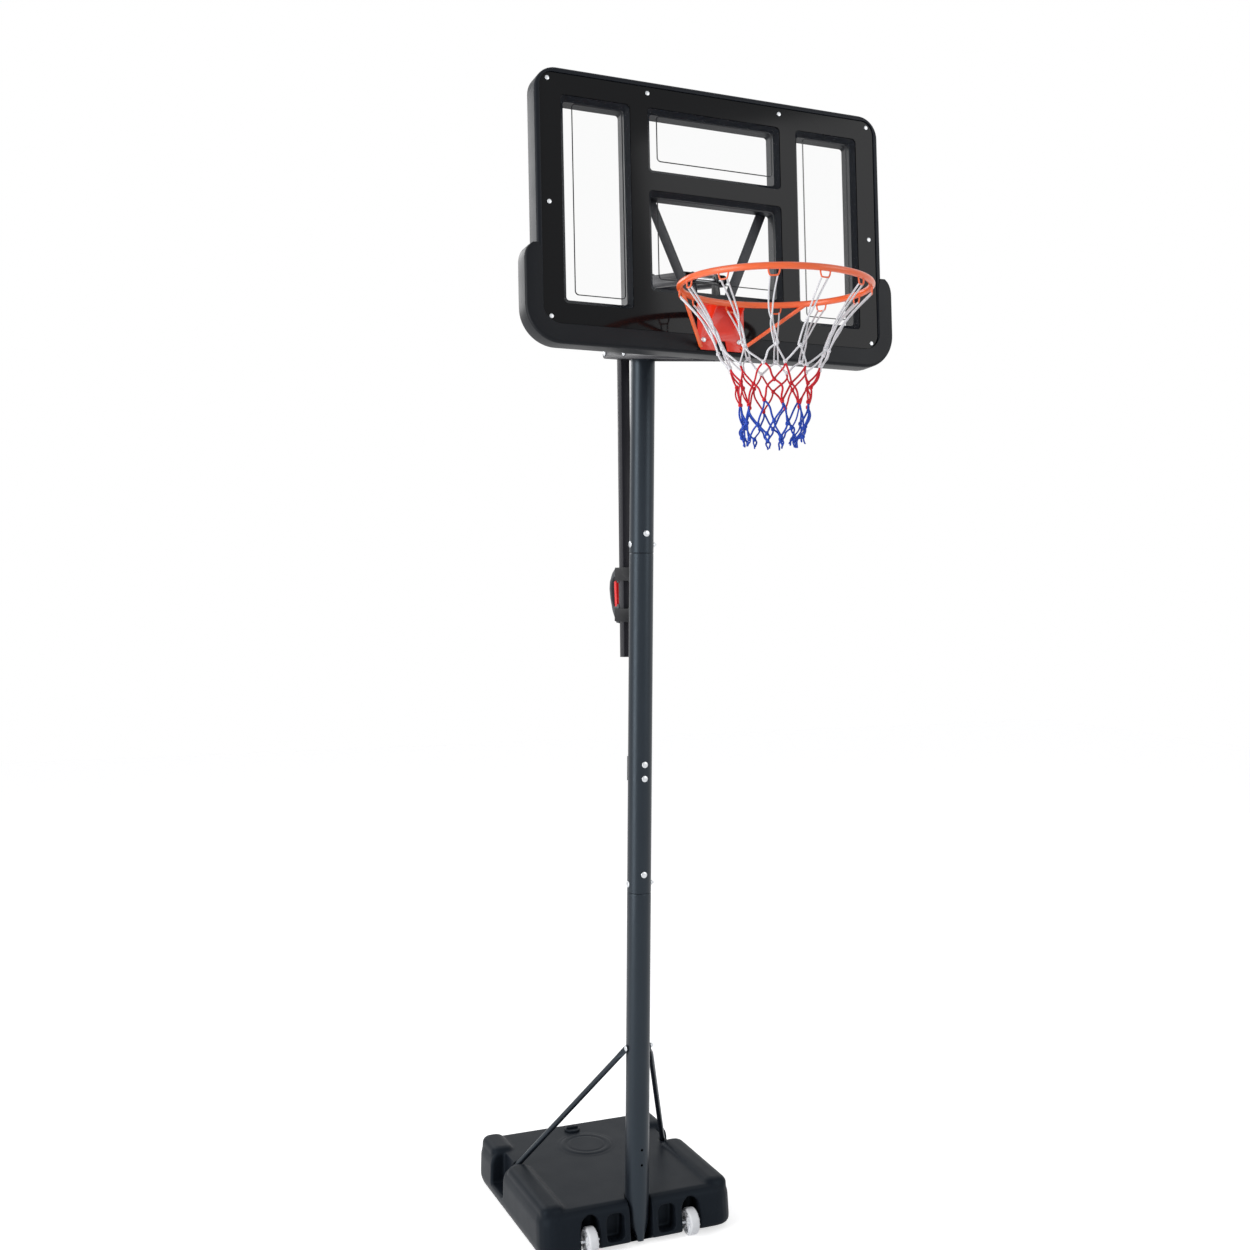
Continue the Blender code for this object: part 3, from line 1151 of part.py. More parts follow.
make_base()
make_filler_cap()
make_wheels()
make_pole()
make_pole_cap()
make_stowage_bracket()
make_braces()
make_arms()
make_strut()
make_handle_bracket()
make_grip()
make_trigger()
make_board_frame()
make_board_sheet()
make_board_pad()
make_carrier()
make_rim_bracket()
make_rim()
make_net()
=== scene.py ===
# %% [markdown]
# # A portable basketball stand
# A filled tank on two wheels carries a round pole in three sections. Two pairs of parallel arms
# hold the board out in front of the pole, and a long strut behind it swings them up and down.
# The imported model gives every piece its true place. This notebook dresses those pieces for
# rendering: each one is a surface worked out with numpy, with a finish made of shader nodes.

from math import cos, pi, radians, sin

import bmesh
import bpy
import numpy as np
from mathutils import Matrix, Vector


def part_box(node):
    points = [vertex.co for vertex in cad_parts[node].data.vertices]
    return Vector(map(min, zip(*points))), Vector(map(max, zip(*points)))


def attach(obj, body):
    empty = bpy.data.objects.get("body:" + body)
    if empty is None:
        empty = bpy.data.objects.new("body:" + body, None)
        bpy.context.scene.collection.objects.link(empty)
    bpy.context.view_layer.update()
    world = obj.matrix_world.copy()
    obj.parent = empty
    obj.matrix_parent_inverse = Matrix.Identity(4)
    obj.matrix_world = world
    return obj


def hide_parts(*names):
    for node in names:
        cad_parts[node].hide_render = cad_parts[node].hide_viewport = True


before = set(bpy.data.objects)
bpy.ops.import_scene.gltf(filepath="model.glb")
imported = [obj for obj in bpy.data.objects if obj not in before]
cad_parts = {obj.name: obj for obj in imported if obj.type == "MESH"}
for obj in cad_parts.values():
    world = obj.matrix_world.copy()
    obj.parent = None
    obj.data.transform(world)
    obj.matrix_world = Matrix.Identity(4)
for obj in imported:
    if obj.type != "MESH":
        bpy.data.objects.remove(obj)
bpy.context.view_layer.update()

# %% [markdown]
# ## The camera first
# The camera stands four metres in front of the stand and to its left, two metres up, so it sees
# the ring from below. It is set by its place and by three turns: yaw, pitch and a trace of roll.

# %% Camera
CAMERA_PLACE = (-1.689, -4.078, 1.998)
CAMERA_YAW = 0.4075
CAMERA_PITCH = -0.033
CAMERA_ROLL = 0.0067
CAMERA_LENS = 40.115


def camera_axes(yaw, pitch, roll):
    """Right, up and backward: forward is turned by yaw about Z and lifted by pitch, then rolled."""
    forward = np.array([sin(yaw) * cos(pitch), cos(yaw) * cos(pitch), sin(pitch)])
    right = np.array([cos(yaw), -sin(yaw), 0.0])
    up = np.cross(right, forward)
    rolled_right = cos(roll) * right + sin(roll) * up
    rolled_up = -sin(roll) * right + cos(roll) * up
    return np.stack([rolled_right, rolled_up, -forward], axis=1)


def add_camera():
    data = bpy.data.cameras.new("player_camera")
    data.lens = CAMERA_LENS
    data.sensor_width = 36.0
    data.sensor_fit = "HORIZONTAL"
    data.clip_end = 60.0
    camera = bpy.data.objects.new("player_camera", data)
    bpy.context.scene.collection.objects.link(camera)
    matrix = np.eye(4)
    matrix[:3, :3] = camera_axes(CAMERA_YAW, CAMERA_PITCH, CAMERA_ROLL)
    matrix[:3, 3] = CAMERA_PLACE
    camera.matrix_world = matrix.T.tolist()
    bpy.context.scene.camera = camera


add_camera()
print("camera at", CAMERA_PLACE)

# %% [markdown]
# ## Shader maths as Python
# A wear mask or a printed line is a formula. This small class wraps one socket of a node tree,
# so that `1 - mask * 0.5` adds the Math nodes it needs. Everything else comes from one method
# that takes a node's type, its settings and its inputs.


# %% Shader helper
class Sock:
    """One output socket, with the arithmetic that a mask needs."""

    def __init__(self, finish, socket):
        self.finish = finish
        self.socket = socket

    def maths(self, operation, *values):
        return self.finish.node("ShaderNodeMath", {"operation": operation}, dict(enumerate(values)))

    def __add__(self, other):
        return self.maths("ADD", self, other)

    def __sub__(self, other):
        return self.maths("SUBTRACT", self, other)

    def __rsub__(self, other):
        return self.maths("SUBTRACT", other, self)

    def __mul__(self, other):
        return self.maths("MULTIPLY", self, other)

    __radd__ = __add__
    __rmul__ = __mul__

    def __abs__(self):
        return self.maths("ABSOLUTE", self)

    def below(self, edge):
        return self.maths("LESS_THAN", self, edge)

    def high(self, other):
        return self.maths("MAXIMUM", self, other)

    def low(self, other):
        return self.maths("MINIMUM", self, other)

    def ramp(self, start, end):
        """0 below start, 1 above end, and straight between."""
        return self.finish.node(
            "ShaderNodeMapRange", {"clamp": True}, {"Value": self, "From Min": start, "From Max": end})


class Finish:
    """A material under construction, round its Principled shader."""

    def __init__(self, name, colour, roughness, metallic=0.0, **fixed):
        self.material = bpy.data.materials.new(name + "_finish")
        self.material.use_nodes = True
        self.tree = self.material.node_tree
        self.shader = self.tree.nodes["Principled BSDF"]
        self.set("Base Color", (*colour, 1.0))
        self.set("Roughness", roughness)
        self.set("Metallic", metallic)
        for socket, value in fixed.items():
            self.set(socket.replace("_", " ").title().replace("Ior", "IOR"), value)

    def node(self, kind, settings=None, inputs=None, output=0):
        made = self.tree.nodes.new(kind)
        for name, value in (settings or {}).items():
            setattr(made, name, value)
        for key, value in (inputs or {}).items():
            self.feed(made.inputs[key], value)
        return Sock(self, made.outputs[output])

    def feed(self, socket, value):
        if isinstance(value, Sock):
            self.tree.links.new(value.socket, socket)
        else:
            socket.default_value = value

    def set(self, name, value):
        self.feed(self.shader.inputs[name], value)

    def place(self):
        return self.node("ShaderNodeTexCoord", output="Object")

    def axis(self, vector, letter):
        return self.node("ShaderNodeSeparateXYZ", inputs={"Vector": vector}, output=letter)

    def noise(self, scale, detail=3.0, roughness=0.5):
        return self.node("ShaderNodeTexNoise", inputs={
            "Vector": self.place(), "Scale": scale, "Detail": detail, "Roughness": roughness})

    def blend(self, mask, first, second):
        """A colour that goes from the first to the second as the mask goes from 0 to 1."""
        first, second = [c if isinstance(c, Sock) else (*c, 1.0) for c in (first, second)]
        return self.node(
            "ShaderNodeMix", {"data_type": "RGBA"}, {"Factor": mask, 6: first, 7: second}, output=2)

    def bump(self, height, distance, strength=1.0):
        self.set("Normal", self.node("ShaderNodeBump", inputs={
            "Strength": strength, "Distance": distance, "Height": height}))


def linear(code):
    """A screen colour such as 23262d as the linear values that a shader takes."""
    channels = np.array([int(code[k:k + 2], 16) for k in (0, 2, 4)]) / 255.0
    curved = np.where(channels <= 0.04045, channels / 12.92, ((channels + 0.055) / 1.055) ** 2.4)
    return tuple(float(c) for c in curved)


print("shader helper ready; a mid grey is", linear("808080"))

# %% [markdown]
# ## Finishes
# Powder coat is a thin skin of melted grains: nearly smooth, with a faint orange peel that
# only shows in a highlight. Blow-moulded plastic copies the sand-blasted mould, so it is dull
# and finely grained. The board's face is clear sheet with a printed back, so it is glossy.


# %% Paint and plastic
COAT_PEEL = 0.00006
COAT_DUST = 0.001


def powder_coat(name, code, roughness, **sheen):
    """Colour drifts towards a paler one, roughness drifts too, and the peel is a fine bump."""
    made = Finish(name, linear(code), roughness, **sheen)
    drift = made.noise(3.0, 4.0)
    colour = linear(code)
    pale = tuple(c * 1.25 + COAT_DUST for c in colour)
    made.set("Base Color", made.blend(drift.ramp(0.3, 0.75), colour, pale))
    made.set("Roughness", made.noise(26.0, 5.0) * 0.16 + (roughness - 0.08))
    made.bump(made.noise(420.0, 2.0), COAT_PEEL)
    return made.material


def moulded(name, code, roughness, grain=520.0, depth=0.00012, scuff=0.35, level=0.2, **sheen):
    """A sand-blasted grain, with paler scuffs where large and small noise agree."""
    made = Finish(name, linear(code), roughness, specular_ior_level=level, **sheen)
    colour = linear(code)
    rubbed = tuple(c * 1.6 + 0.006 for c in colour)
    patches = made.noise(5.0, 6.0, roughness=0.62).ramp(0.52, 0.74)
    marks = made.noise(70.0, 4.0).ramp(0.45, 0.7)
    worn = patches * marks * scuff
    made.set("Base Color", made.blend(worn, colour, rubbed))
    made.set("Roughness", made.noise(11.0, 4.0) * 0.14 + worn * 0.1 + (roughness - 0.07))
    made.bump(made.noise(grain, 3.0), depth)
    return made.material


BLUE_SHEEN = (0.70, 0.86, 1.0, 1.0)
POLE_FINISH = powder_coat(
    "pole_paint", "15191f", 0.36, specular_ior_level=0.42, specular_tint=BLUE_SHEEN)
ARM_FINISH = powder_coat("arm_paint", "222227", 0.42, specular_ior_level=0.14)
STAY_FINISH = powder_coat("stay_paint", "3c3e43", 0.42, specular_ior_level=0.3)
HANDLE_FINISH = powder_coat("handle_paint", "131417", 0.5, specular_ior_level=0.08)
BASE_FINISH = moulded("base_plastic", "15191f", 0.44, scuff=0.4, level=0.1, specular_tint=BLUE_SHEEN)
FRAME_FINISH = moulded("frame_plastic", "14181f", 0.38, 700.0, 0.00006, 0.2, 0.14)
PAD_FINISH = moulded("pad_plastic", "101318", 0.4, 600.0, 0.00008, 0.2, 0.16)
WHEEL_FINISH = moulded("wheel_plastic", "e6e8ec", 0.42, grain=500.0, depth=0.00005, scuff=0.1, level=0.5)
GRIP_FINISH = moulded("grip_plastic", "44474a", 0.5, grain=650.0, depth=0.0001)
TRIGGER_FINISH = moulded("trigger_plastic", "e01a1c", 0.4, grain=650.0, depth=0.00006, level=0.4)
print("paint and plastic:", len(bpy.data.materials), "materials")


# %% Bright metal and rim paint
def zinc_plate():
    """Plated steel: grey mirror dulled in small patches, with fine lines from the threading."""
    made = Finish("zinc", linear("c3c6ca"), 0.32, 1.0)
    patches = made.noise(160.0, 4.0)
    made.set("Base Color", made.blend(patches, linear("b4b8bd"), linear("dcdee0")))
    made.set("Roughness", patches * 0.25 + 0.2)
    made.bump(made.noise(900.0, 2.0), 0.00002)
    return made.material


def rim_coat(name, code, darker_paint_and_furrow_shade):
    """Gloss paint on steel, thinner and darker in a few drifting patches."""
    made = Finish(name, linear(code), 0.3, coat_weight=0.25, coat_roughness=0.12)
    made.set("Base Color", made.blend(made.noise(9.0, 4.0).ramp(0.45, 0.8), linear(code), linear(darker_paint_and_furrow_shade)))
    made.set("Roughness", made.noise(40.0, 4.0) * 0.14 + 0.24)
    made.bump(made.noise(300.0, 2.0), 0.00005)
    return made.material


ZINC_FINISH = zinc_plate()
RIM_FINISH = rim_coat("rim_paint", "f7672c", "ee5a22")
RIM_PLATE_FINISH = rim_coat("rim_plate_paint", "f2300f", "e3260c")
print("metal and rim paint ready")

# %% [markdown]
# ## From formulas to meshes
# Each piece below is a grid of points: rows follow one parameter and columns the other. One
# function turns any such grid into faces, wraps it round, and caps its ends where they are open.
# A piece may hold several grids, such as a bolt's head, nut and washer.


# %% Grid mesh
def grid_faces(rows, columns, close_rows):
    """Each cell as four corner numbers. Columns always wrap round, and rows do where they are closed."""
    a, b = np.meshgrid(np.arange(rows if close_rows else rows - 1), np.arange(columns), indexing="ij")
    c, d = (a + 1) % rows, (b + 1) % columns
    corners = [a * columns + b, a * columns + d, c * columns + d, c * columns + b]
    return np.stack(corners, axis=-1).reshape(-1, 4)


def shell(points, close_rows=False):
    """A grid of points with its faces; where the rows are open, each end gets a face."""
    rows, columns = points.shape[:2]
    faces = grid_faces(rows, columns, close_rows).tolist()
    if not close_rows:
        faces.append(list(range(columns)))
        faces.append(list(range((rows - 1) * columns, rows * columns)))
    return points.reshape(-1, 3), faces


def along_uv(mesh, shells, shapes):
    """A UV map: metres along each grid's rows, and across its columns from 1 down to 0 and back."""
    layer = mesh.uv_layers.new(name="along")
    values = np.zeros((sum(len(points) for points, _ in shells), 2))
    start = 0
    for (points, _), (rows, columns) in zip(shells, shapes):
        grid = points.reshape(rows, columns, 3)
        steps = np.linalg.norm(np.diff(grid.mean(axis=1), axis=0), axis=1)
        run = np.concatenate([[0.0], np.cumsum(steps)])
        u, v = np.meshgrid(run, np.abs(np.linspace(-1, 1, columns)), indexing="ij")
        values[start:start + len(points)] = np.stack([u.ravel(), v.ravel()], axis=1)
        start += len(points)
    corner = np.zeros(len(mesh.loops), dtype=np.int64)
    mesh.loops.foreach_get("vertex_index", corner)
    layer.data.foreach_set("uv", values[corner].ravel())


def mesh_of(name, shells):
    """One mesh that holds several grids."""
    vertices, faces, start = [], [], 0
    for points, quads in shells:
        vertices.append(points)
        faces += [[k + start for k in face] for face in quads]
        start += len(points)
    mesh = bpy.data.meshes.new(name)
    mesh.from_pydata(np.concatenate(vertices).tolist(), [], faces)
    return mesh


def applied(mesh, steps):
    """The mesh after a run of modifiers, each a kind and its settings."""
    holder = bpy.data.objects.new("holder", mesh)
    bpy.context.scene.collection.objects.link(holder)
    for kind, settings in steps:
        step = holder.modifiers.new(kind.lower(), kind)
        for name, value in settings.items():
            setattr(step, name, value)
    bpy.context.view_layer.update()
    made = bpy.data.meshes.new_from_object(holder.evaluated_get(bpy.context.evaluated_depsgraph_get()))
    bpy.data.objects.remove(holder, do_unlink=True)
    return made


def outward(mesh):
    """The mesh with every face turned to point out."""
    bm = bmesh.new()
    bm.from_mesh(mesh)
    bmesh.ops.recalc_face_normals(bm, faces=bm.faces)
    bm.to_mesh(mesh)
    bm.free()
    return mesh


def drilled(mesh, shells):
    """The mesh less some bars, cut away with a Boolean."""
    drill = bpy.data.objects.new("drill", outward(mesh_of("drill", shells)))
    bpy.context.scene.collection.objects.link(drill)
    made = applied(outward(mesh), [
        ("BOOLEAN", {"operation": "DIFFERENCE", "object": drill, "solver": "EXACT"})])
    bpy.data.objects.remove(drill, do_unlink=True)
    return made


def build(name, shells, finish, body, replaces=(), sharp=40.0, uv_shapes=None):
    """One object from its grids: smooth with sharp edges, riding on its body."""
    mesh = mesh_of(name, shells)
    if uv_shapes:
        along_uv(mesh, shells, uv_shapes)
    return finish_mesh(name, mesh, finish, body, replaces, sharp)


def finish_mesh(name, mesh, finish, body, replaces=(), sharp=40.0):
    """Normals, shading, material, body and the CAD nodes that the piece stands for."""
    outward(mesh).shade_smooth()
    mesh.set_sharp_from_angle(angle=radians(sharp))
    piece = bpy.data.objects.new(name, mesh)
    bpy.context.scene.collection.objects.link(piece)
    mesh.materials.clear()
    mesh.materials.append(finish)
    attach(piece, body)
    if replaces:
        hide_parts(*replaces)
    print(f"{name}: {len(mesh.vertices)} points, {len(mesh.polygons)} faces")
    return piece


# %% [markdown]
# ## Shapes used again and again
# A lathe turns a profile about an axis. A rod carries a circle along a path, which may be
# smoothed first. Rounded rectangles and arcs draw the sections and outlines of the rest.


# %% Lathe, rod and outlines
def facing(axis):
    """Three columns whose last is the axis, for turning a shape made along Z."""
    axis = np.asarray(axis, float) / np.linalg.norm(axis)
    side = np.cross([0.0, 0.0, 1.0], axis)
    if np.linalg.norm(side) < 1e-6:
        side = np.array([1.0, 0.0, 0.0])
    side /= np.linalg.norm(side)
    return np.stack([side, np.cross(axis, side), axis], axis=1)


def lathe(profile, sides=64, origin=(0, 0, 0), axis=(0, 0, 1), around=None, closed=False):
    """Point (k, t) is the profile's radius k at angle t and its height k; around(t) scales the radius."""
    profile = np.asarray(profile, float)
    t = np.linspace(0, 2 * pi, sides, endpoint=False)
    radius = profile[:, :1] * (around(t) if around else np.ones(sides))
    points = np.stack([radius * np.cos(t), radius * np.sin(t), np.repeat(profile[:, 1:], sides, 1)], -1)
    return shell(points @ facing(axis).T + np.asarray(origin), close_rows=closed)


def frames_along(path):
    """At each point of a path, two directions square to it, turned as little as possible."""
    along = np.vstack([path[1:], path[-1:]]) - np.vstack([path[:1], path[:-1]])
    along /= np.linalg.norm(along, axis=1, keepdims=True)
    first = np.zeros_like(path)
    guess = np.array([0.0, 0.0, 1.0]) if abs(along[0, 2]) < 0.9 else np.array([1.0, 0.0, 0.0])
    for k, direction in enumerate(along):
        guess = guess - direction * (guess @ direction)
        guess /= np.linalg.norm(guess)
        first[k] = guess
    return first, np.cross(along, first)


def rod(path, radius, sides=16, flat=1.0):
    """A round or flattened bar: centre plus radius times cosine and sine along the two cross directions."""
    path = np.asarray(path, float)
    first, second = frames_along(path)
    t = np.linspace(0, 2 * pi, sides, endpoint=False)
    size = np.broadcast_to(np.asarray(radius, float), (len(path),))[:, None, None]
    points = (path[:, None] + size * np.cos(t)[None, :, None] * first[:, None]
              + size * flat * np.sin(t)[None, :, None] * second[:, None])
    return shell(points)


def smooth_path(points, count):
    """A Catmull-Rom curve: each stretch is a cubic whose slopes come from the neighbours."""
    points = np.asarray(points, float)
    padded = np.vstack([2 * points[0] - points[1], points, 2 * points[-1] - points[-2]])
    t = np.linspace(0, len(points) - 1, count)
    k = np.minimum(t.astype(int), len(points) - 2)
    f = (t - k)[:, None]
    a, b, c, d = padded[k], padded[k + 1], padded[k + 2], padded[k + 3]
    square, cube = 2 * a - 5 * b + 4 * c - d, 3 * b - a - 3 * c + d
    return 0.5 * (2 * b + (c - a) * f + square * f ** 2 + cube * f ** 3)


def rounded_box(left, right, bottom, top, radius, steps=8):
    """Points round a rectangle whose corners are quarter circles."""
    t = np.linspace(0, pi / 2, steps + 1)
    centres = [(right - radius, bottom + radius, -pi / 2), (right - radius, top - radius, 0.0),
               (left + radius, top - radius, pi / 2), (left + radius, bottom + radius, pi)]
    return np.concatenate([
        np.stack([x + radius * np.cos(t + turn), y + radius * np.sin(t + turn)], 1)
        for x, y, turn in centres])


def arc(x, y, radius, start, end, steps=6):
    """A run of points on a circle, angles in degrees."""
    t = np.radians(np.linspace(start, end, steps + 1))
    return np.stack([x + radius * np.cos(t), y + radius * np.sin(t)], 1)


# %% [markdown]
# ## Two tilted sets of axes
# The board leans back by four degrees, so its pieces are worked out in the board's own axes:
# u across, v behind the face, w up from the lower screws. The ring stays level, so it has axes
# of its own, centred on the ring. The sizes below are the CAD model's.

# %% Places
LEAN = radians(4.0)
POLE_Y = -0.285
LOWER_PIVOT = 2.663
UPPER_PIVOT = 2.863
ARM_SLOPE = radians(8.0)
ARM_LENGTH = 0.404
ARM_TAIL = 0.150
BOARD_PIVOT = np.array([
    0.0, POLE_Y - ARM_LENGTH * cos(ARM_SLOPE), LOWER_PIVOT - ARM_LENGTH * sin(ARM_SLOPE)])
LEANING = np.array([[1.0, 0.0, 0.0], [0.0, cos(LEAN), sin(LEAN)], [0.0, -sin(LEAN), cos(LEAN)]])
FACE_ORIGIN = BOARD_PIVOT + LEANING @ np.array([0.0, -0.100, 0.041])
RING_RADIUS = 0.233
RING_GAP = 0.065
RING_CENTRE = (FACE_ORIGIN + LEANING @ np.array([0.0, 0.0, 0.0591])
               + np.array([0.0, -RING_GAP - RING_RADIUS, 0.0]))


def on_board(points):
    """From u, v, w on the leaning board to metres in the room."""
    return np.asarray(points, float) @ LEANING.T + FACE_ORIGIN


def placed(shells, mover):
    """The same grids after their points are moved."""
    return [(mover(points), faces) for points, faces in shells]


print("board face at", FACE_ORIGIN.round(4), "ring at", RING_CENTRE.round(4))

# %% [markdown]
# ## The board's frame
# One moulding holds the sheet: a rim with a lip round the edge, a skin behind the sheet, and
# a sloped sleeve round each of four windows. The rim and the sleeves are bands, each a closed
# section carried round a rounded rectangle.

# %% Frame rim and window sleeves
FRAME_HALF = 0.507
FRAME_LOW, FRAME_TOP = -0.030, 0.635
FRAME_DEPTH = 0.055
FRAME_CORNER = 0.060
SCREW_U, SCREW_TOP = 0.472, 0.6046
LIP = 0.0135
LIP_RISE = 0.004
SKIN_FRONT, SKIN_BACK = 0.0038, 0.018
REVEAL = 0.012
WINDOWS = {
    "left": (-0.425, -0.257, 0.048, 0.556), "right": (0.257, 0.425, 0.048, 0.556),
    "upper": (-0.184, 0.184, 0.410, 0.556), "target": (-0.184, 0.184, 0.100, 0.340)}


def rim_outline(inset):
    """The board's outline, drawn in by a distance; its corners tighten a little faster."""
    corner = max(FRAME_CORNER - 1.8 * inset, 0.006)
    return rounded_box(
        -FRAME_HALF + inset, FRAME_HALF - inset, FRAME_LOW + inset, FRAME_TOP - inset, corner, 12)


def window_outline(window, grow):
    left, right, low, high = window
    return rounded_box(left - grow, right + grow, low - grow, high + grow, 0.008 + grow * 0.5, 6)


def rings(section, outline):
    """For each (inset, depth) of a section, the outline drawn in by that inset at that depth."""
    rows = []
    for inset, depth in section:
        ring = outline(inset)
        rows.append(np.stack([ring[:, 0], np.full(len(ring), depth), ring[:, 1]], 1))
    return on_board(np.array(rows))


def band(section, outline):
    """A closed section carried round an outline."""
    return shell(rings(section, outline), close_rows=True)


def frame_rim():
    nose = arc(0.008, -LIP_RISE + 0.008, 0.008, 180, 270, 6)
    lip = arc(LIP - 0.0015, -LIP_RISE + 0.0015, 0.0015, -90, 0, 3)
    wall = [(0.0, FRAME_DEPTH - 0.002), (0.002, FRAME_DEPTH), (0.005, FRAME_DEPTH)]
    back = [(0.005, SKIN_BACK + 0.003), (0.008, SKIN_BACK), (0.030, SKIN_BACK), (0.030, SKIN_FRONT),
            (LIP, SKIN_FRONT)]
    section = [*wall[::-1], *nose.tolist(), *lip.tolist(), *back[::-1]]
    return band(section, rim_outline)


def window_sleeve(window):
    section = [(REVEAL, SKIN_FRONT), (0.0005, SKIN_FRONT + REVEAL - 0.0005), (0.0, SKIN_FRONT + REVEAL),
               (0.0, FRAME_DEPTH), (0.005, FRAME_DEPTH), (0.005, SKIN_BACK), (0.018, SKIN_BACK),
               (0.018, SKIN_FRONT)]
    return band(section, lambda grow: window_outline(window, grow))


rim_section = frame_rim()
sleeves = [window_sleeve(window) for window in WINDOWS.values()]
print("frame rim", len(rim_section[0]), "points;", len(sleeves), "window sleeves")


# %% Frame skin, tab and bosses
def plate(outline, low, high, holes=()):
    """A flat outline less its holes, filled and given a thickness, as (points, faces) on the board."""
    curve = bpy.data.curves.new("plate", "CURVE")
    curve.dimensions = "2D"
    curve.fill_mode = "BOTH"
    curve.extrude = (high - low) / 2
    for loop in (outline, *holes):
        spline = curve.splines.new("POLY")
        spline.points.add(len(loop) - 1)
        flat = np.c_[loop, np.zeros(len(loop)), np.ones(len(loop))]
        spline.points.foreach_set("co", flat.ravel())
        spline.use_cyclic_u = True
    holder = bpy.data.objects.new("plate", curve)
    bpy.context.scene.collection.objects.link(holder)
    bpy.context.view_layer.update()
    mesh = bpy.data.meshes.new_from_object(holder.evaluated_get(bpy.context.evaluated_depsgraph_get()))
    bpy.data.objects.remove(holder, do_unlink=True)
    bm = bmesh.new()
    bm.from_mesh(mesh)
    bmesh.ops.remove_doubles(bm, verts=bm.verts, dist=0.00002)
    points = np.array([v.co for v in bm.verts])
    faces = [[v.index for v in face.verts] for face in bm.faces]
    bm.free()
    bpy.data.meshes.remove(mesh)
    points = np.stack([points[:, 0], points[:, 2] + (low + high) / 2, points[:, 1]], 1)
    return points, faces


def soft_block(low, high, radius):
    """A box with rounded upright edges, its outline drawn in along a quarter circle at top and bottom."""
    half = (high[2] - low[2]) / 2
    edge = [(radius * (1 - sin(a)), half - radius * (1 - cos(a))) for a in np.linspace(0, pi / 2, 4)]
    section = [(i, half + h) for i, h in edge] + [(i, half - h) for i, h in edge[::-1]]
    grid = []
    for inset, height in section:
        ring = rounded_box(low[0] + inset, high[0] - inset, low[1] + inset, high[1] - inset, radius, 3)
        grid.append(np.c_[ring, np.full(len(ring), low[2] + height)])
    return shell(np.array(grid))


def screw_spots():
    """Across and up on the board: three screws down each side and two more along the top."""
    spots = {}
    for name, sign in (("left", -1), ("right", 1)):
        spots[f"board_screw_low_{name}"] = (sign * SCREW_U, 0.0)
        spots[f"board_screw_middle_{name}"] = (sign * SCREW_U, 0.290)
        spots[f"board_screw_high_{name}"] = (sign * SCREW_U, SCREW_TOP)
        spots[f"board_screw_inner_{name}"] = (sign * 0.195, SCREW_TOP)
    return spots


SKIN_SHRINK = 0.0002
BOSS_U, BOSS_W = 0.179, 0.375
skin = plate(rim_outline(0.028), SKIN_FRONT + SKIN_SHRINK, SKIN_BACK - SKIN_SHRINK,
             [window_outline(window, 0.016) for window in WINDOWS.values()])
tab = soft_block((-0.072, -0.0036, -0.058), (0.072, 0.0545, 0.020), 0.003)
boss_profile = [(0.014, 0.0), (0.014, 0.0415), (0.013, 0.0425)]
bosses = [lathe(boss_profile, 40, (side * BOSS_U, 0.0158, BOSS_W), (0, 1, 0)) for side in (-1, 1)]
build(
    "board_frame_moulding", [rim_section, *sleeves, *placed([skin, tab, *bosses], on_board)],
    FRAME_FINISH, "board", ["board_frame"], sharp=30.0)

# %% [markdown]
# ## The clear sheet and its print
# The face is one clear plastic sheet with black printed on its back, left clear over the four
# windows. Inside each clear field runs one thin printed line with rounded corners. Every edge is
# a rounded rectangle, so one distance formula draws them all: how far a point lies outside a
# rectangle that was drawn in by the corner radius, less that radius.


# %% Sheet material
def printed_sheet():
    made = Finish("board_sheet_print", linear("0d0e11"), 0.1, ior=1.49, specular_ior_level=0.15)
    spot = made.place()
    u = made.axis(spot, "X")
    y, z = made.axis(spot, "Y"), made.axis(spot, "Z")
    w = (y - float(FACE_ORIGIN[1])) * sin(LEAN) + (z - float(FACE_ORIGIN[2])) * cos(LEAN)

    def distance(left, right, low, high, corner):
        """Signed distance in metres from a rounded rectangle's edge, negative inside."""
        across = abs(u - (left + right) / 2) - ((right - left) / 2 - corner)
        upward = abs(w - (low + high) / 2) - ((high - low) / 2 - corner)
        out_u, out_w = across.high(0.0), upward.high(0.0)
        outside = (out_u * out_u + out_w * out_w).maths("SQRT", out_u * out_u + out_w * out_w)
        return outside + across.high(upward).low(0.0) - corner

    clear, line = None, None
    fields = {
        "left": (0.019, 0.011, 0.012, 0.008), "right": (0.011, 0.019, 0.012, 0.008),
        "upper": (0.014, 0.014, 0.020, 0.007), "target": (0.012, 0.012, 0.021, 0.008)}
    for name, (left, right, low, high) in WINDOWS.items():
        opening = distance(left - REVEAL, right + REVEAL, low - REVEAL, high + REVEAL, 0.012).below(0.0)
        a, b, c, d = fields[name]
        edge = abs(distance(left + a, right - b, low + c, high - d, 0.010)).below(0.00085)
        clear = opening if clear is None else clear.high(opening)
        line = edge if line is None else line.high(edge)
    made.set("Alpha", 1.0 - clear * (1.0 - line) * 0.98)
    made.set("Base Color", made.blend(line, linear("0d0e11"), linear("26282c")))
    made.set("Roughness", made.noise(6.0, 3.0) * 0.05 + 0.06)
    made.bump(made.noise(2.2, 1.0), 0.0012, 0.15)
    return made.material


SHEET_FINISH = printed_sheet()


SHEET_THICK, SHEET_ROUND, SHEET_PLAY = 0.0035, 0.0008, 0.0004


def sheet_grid():
    """A slab whose edge is rounded off: outlines drawn in a little at the front and the back."""
    section = [(SHEET_ROUND, 0.0), (0.0, SHEET_ROUND), (0.0, SHEET_THICK - SHEET_ROUND),
               (SHEET_ROUND, SHEET_THICK)]
    return shell(rings(section, lambda inset: rim_outline(LIP + SHEET_PLAY + inset)))


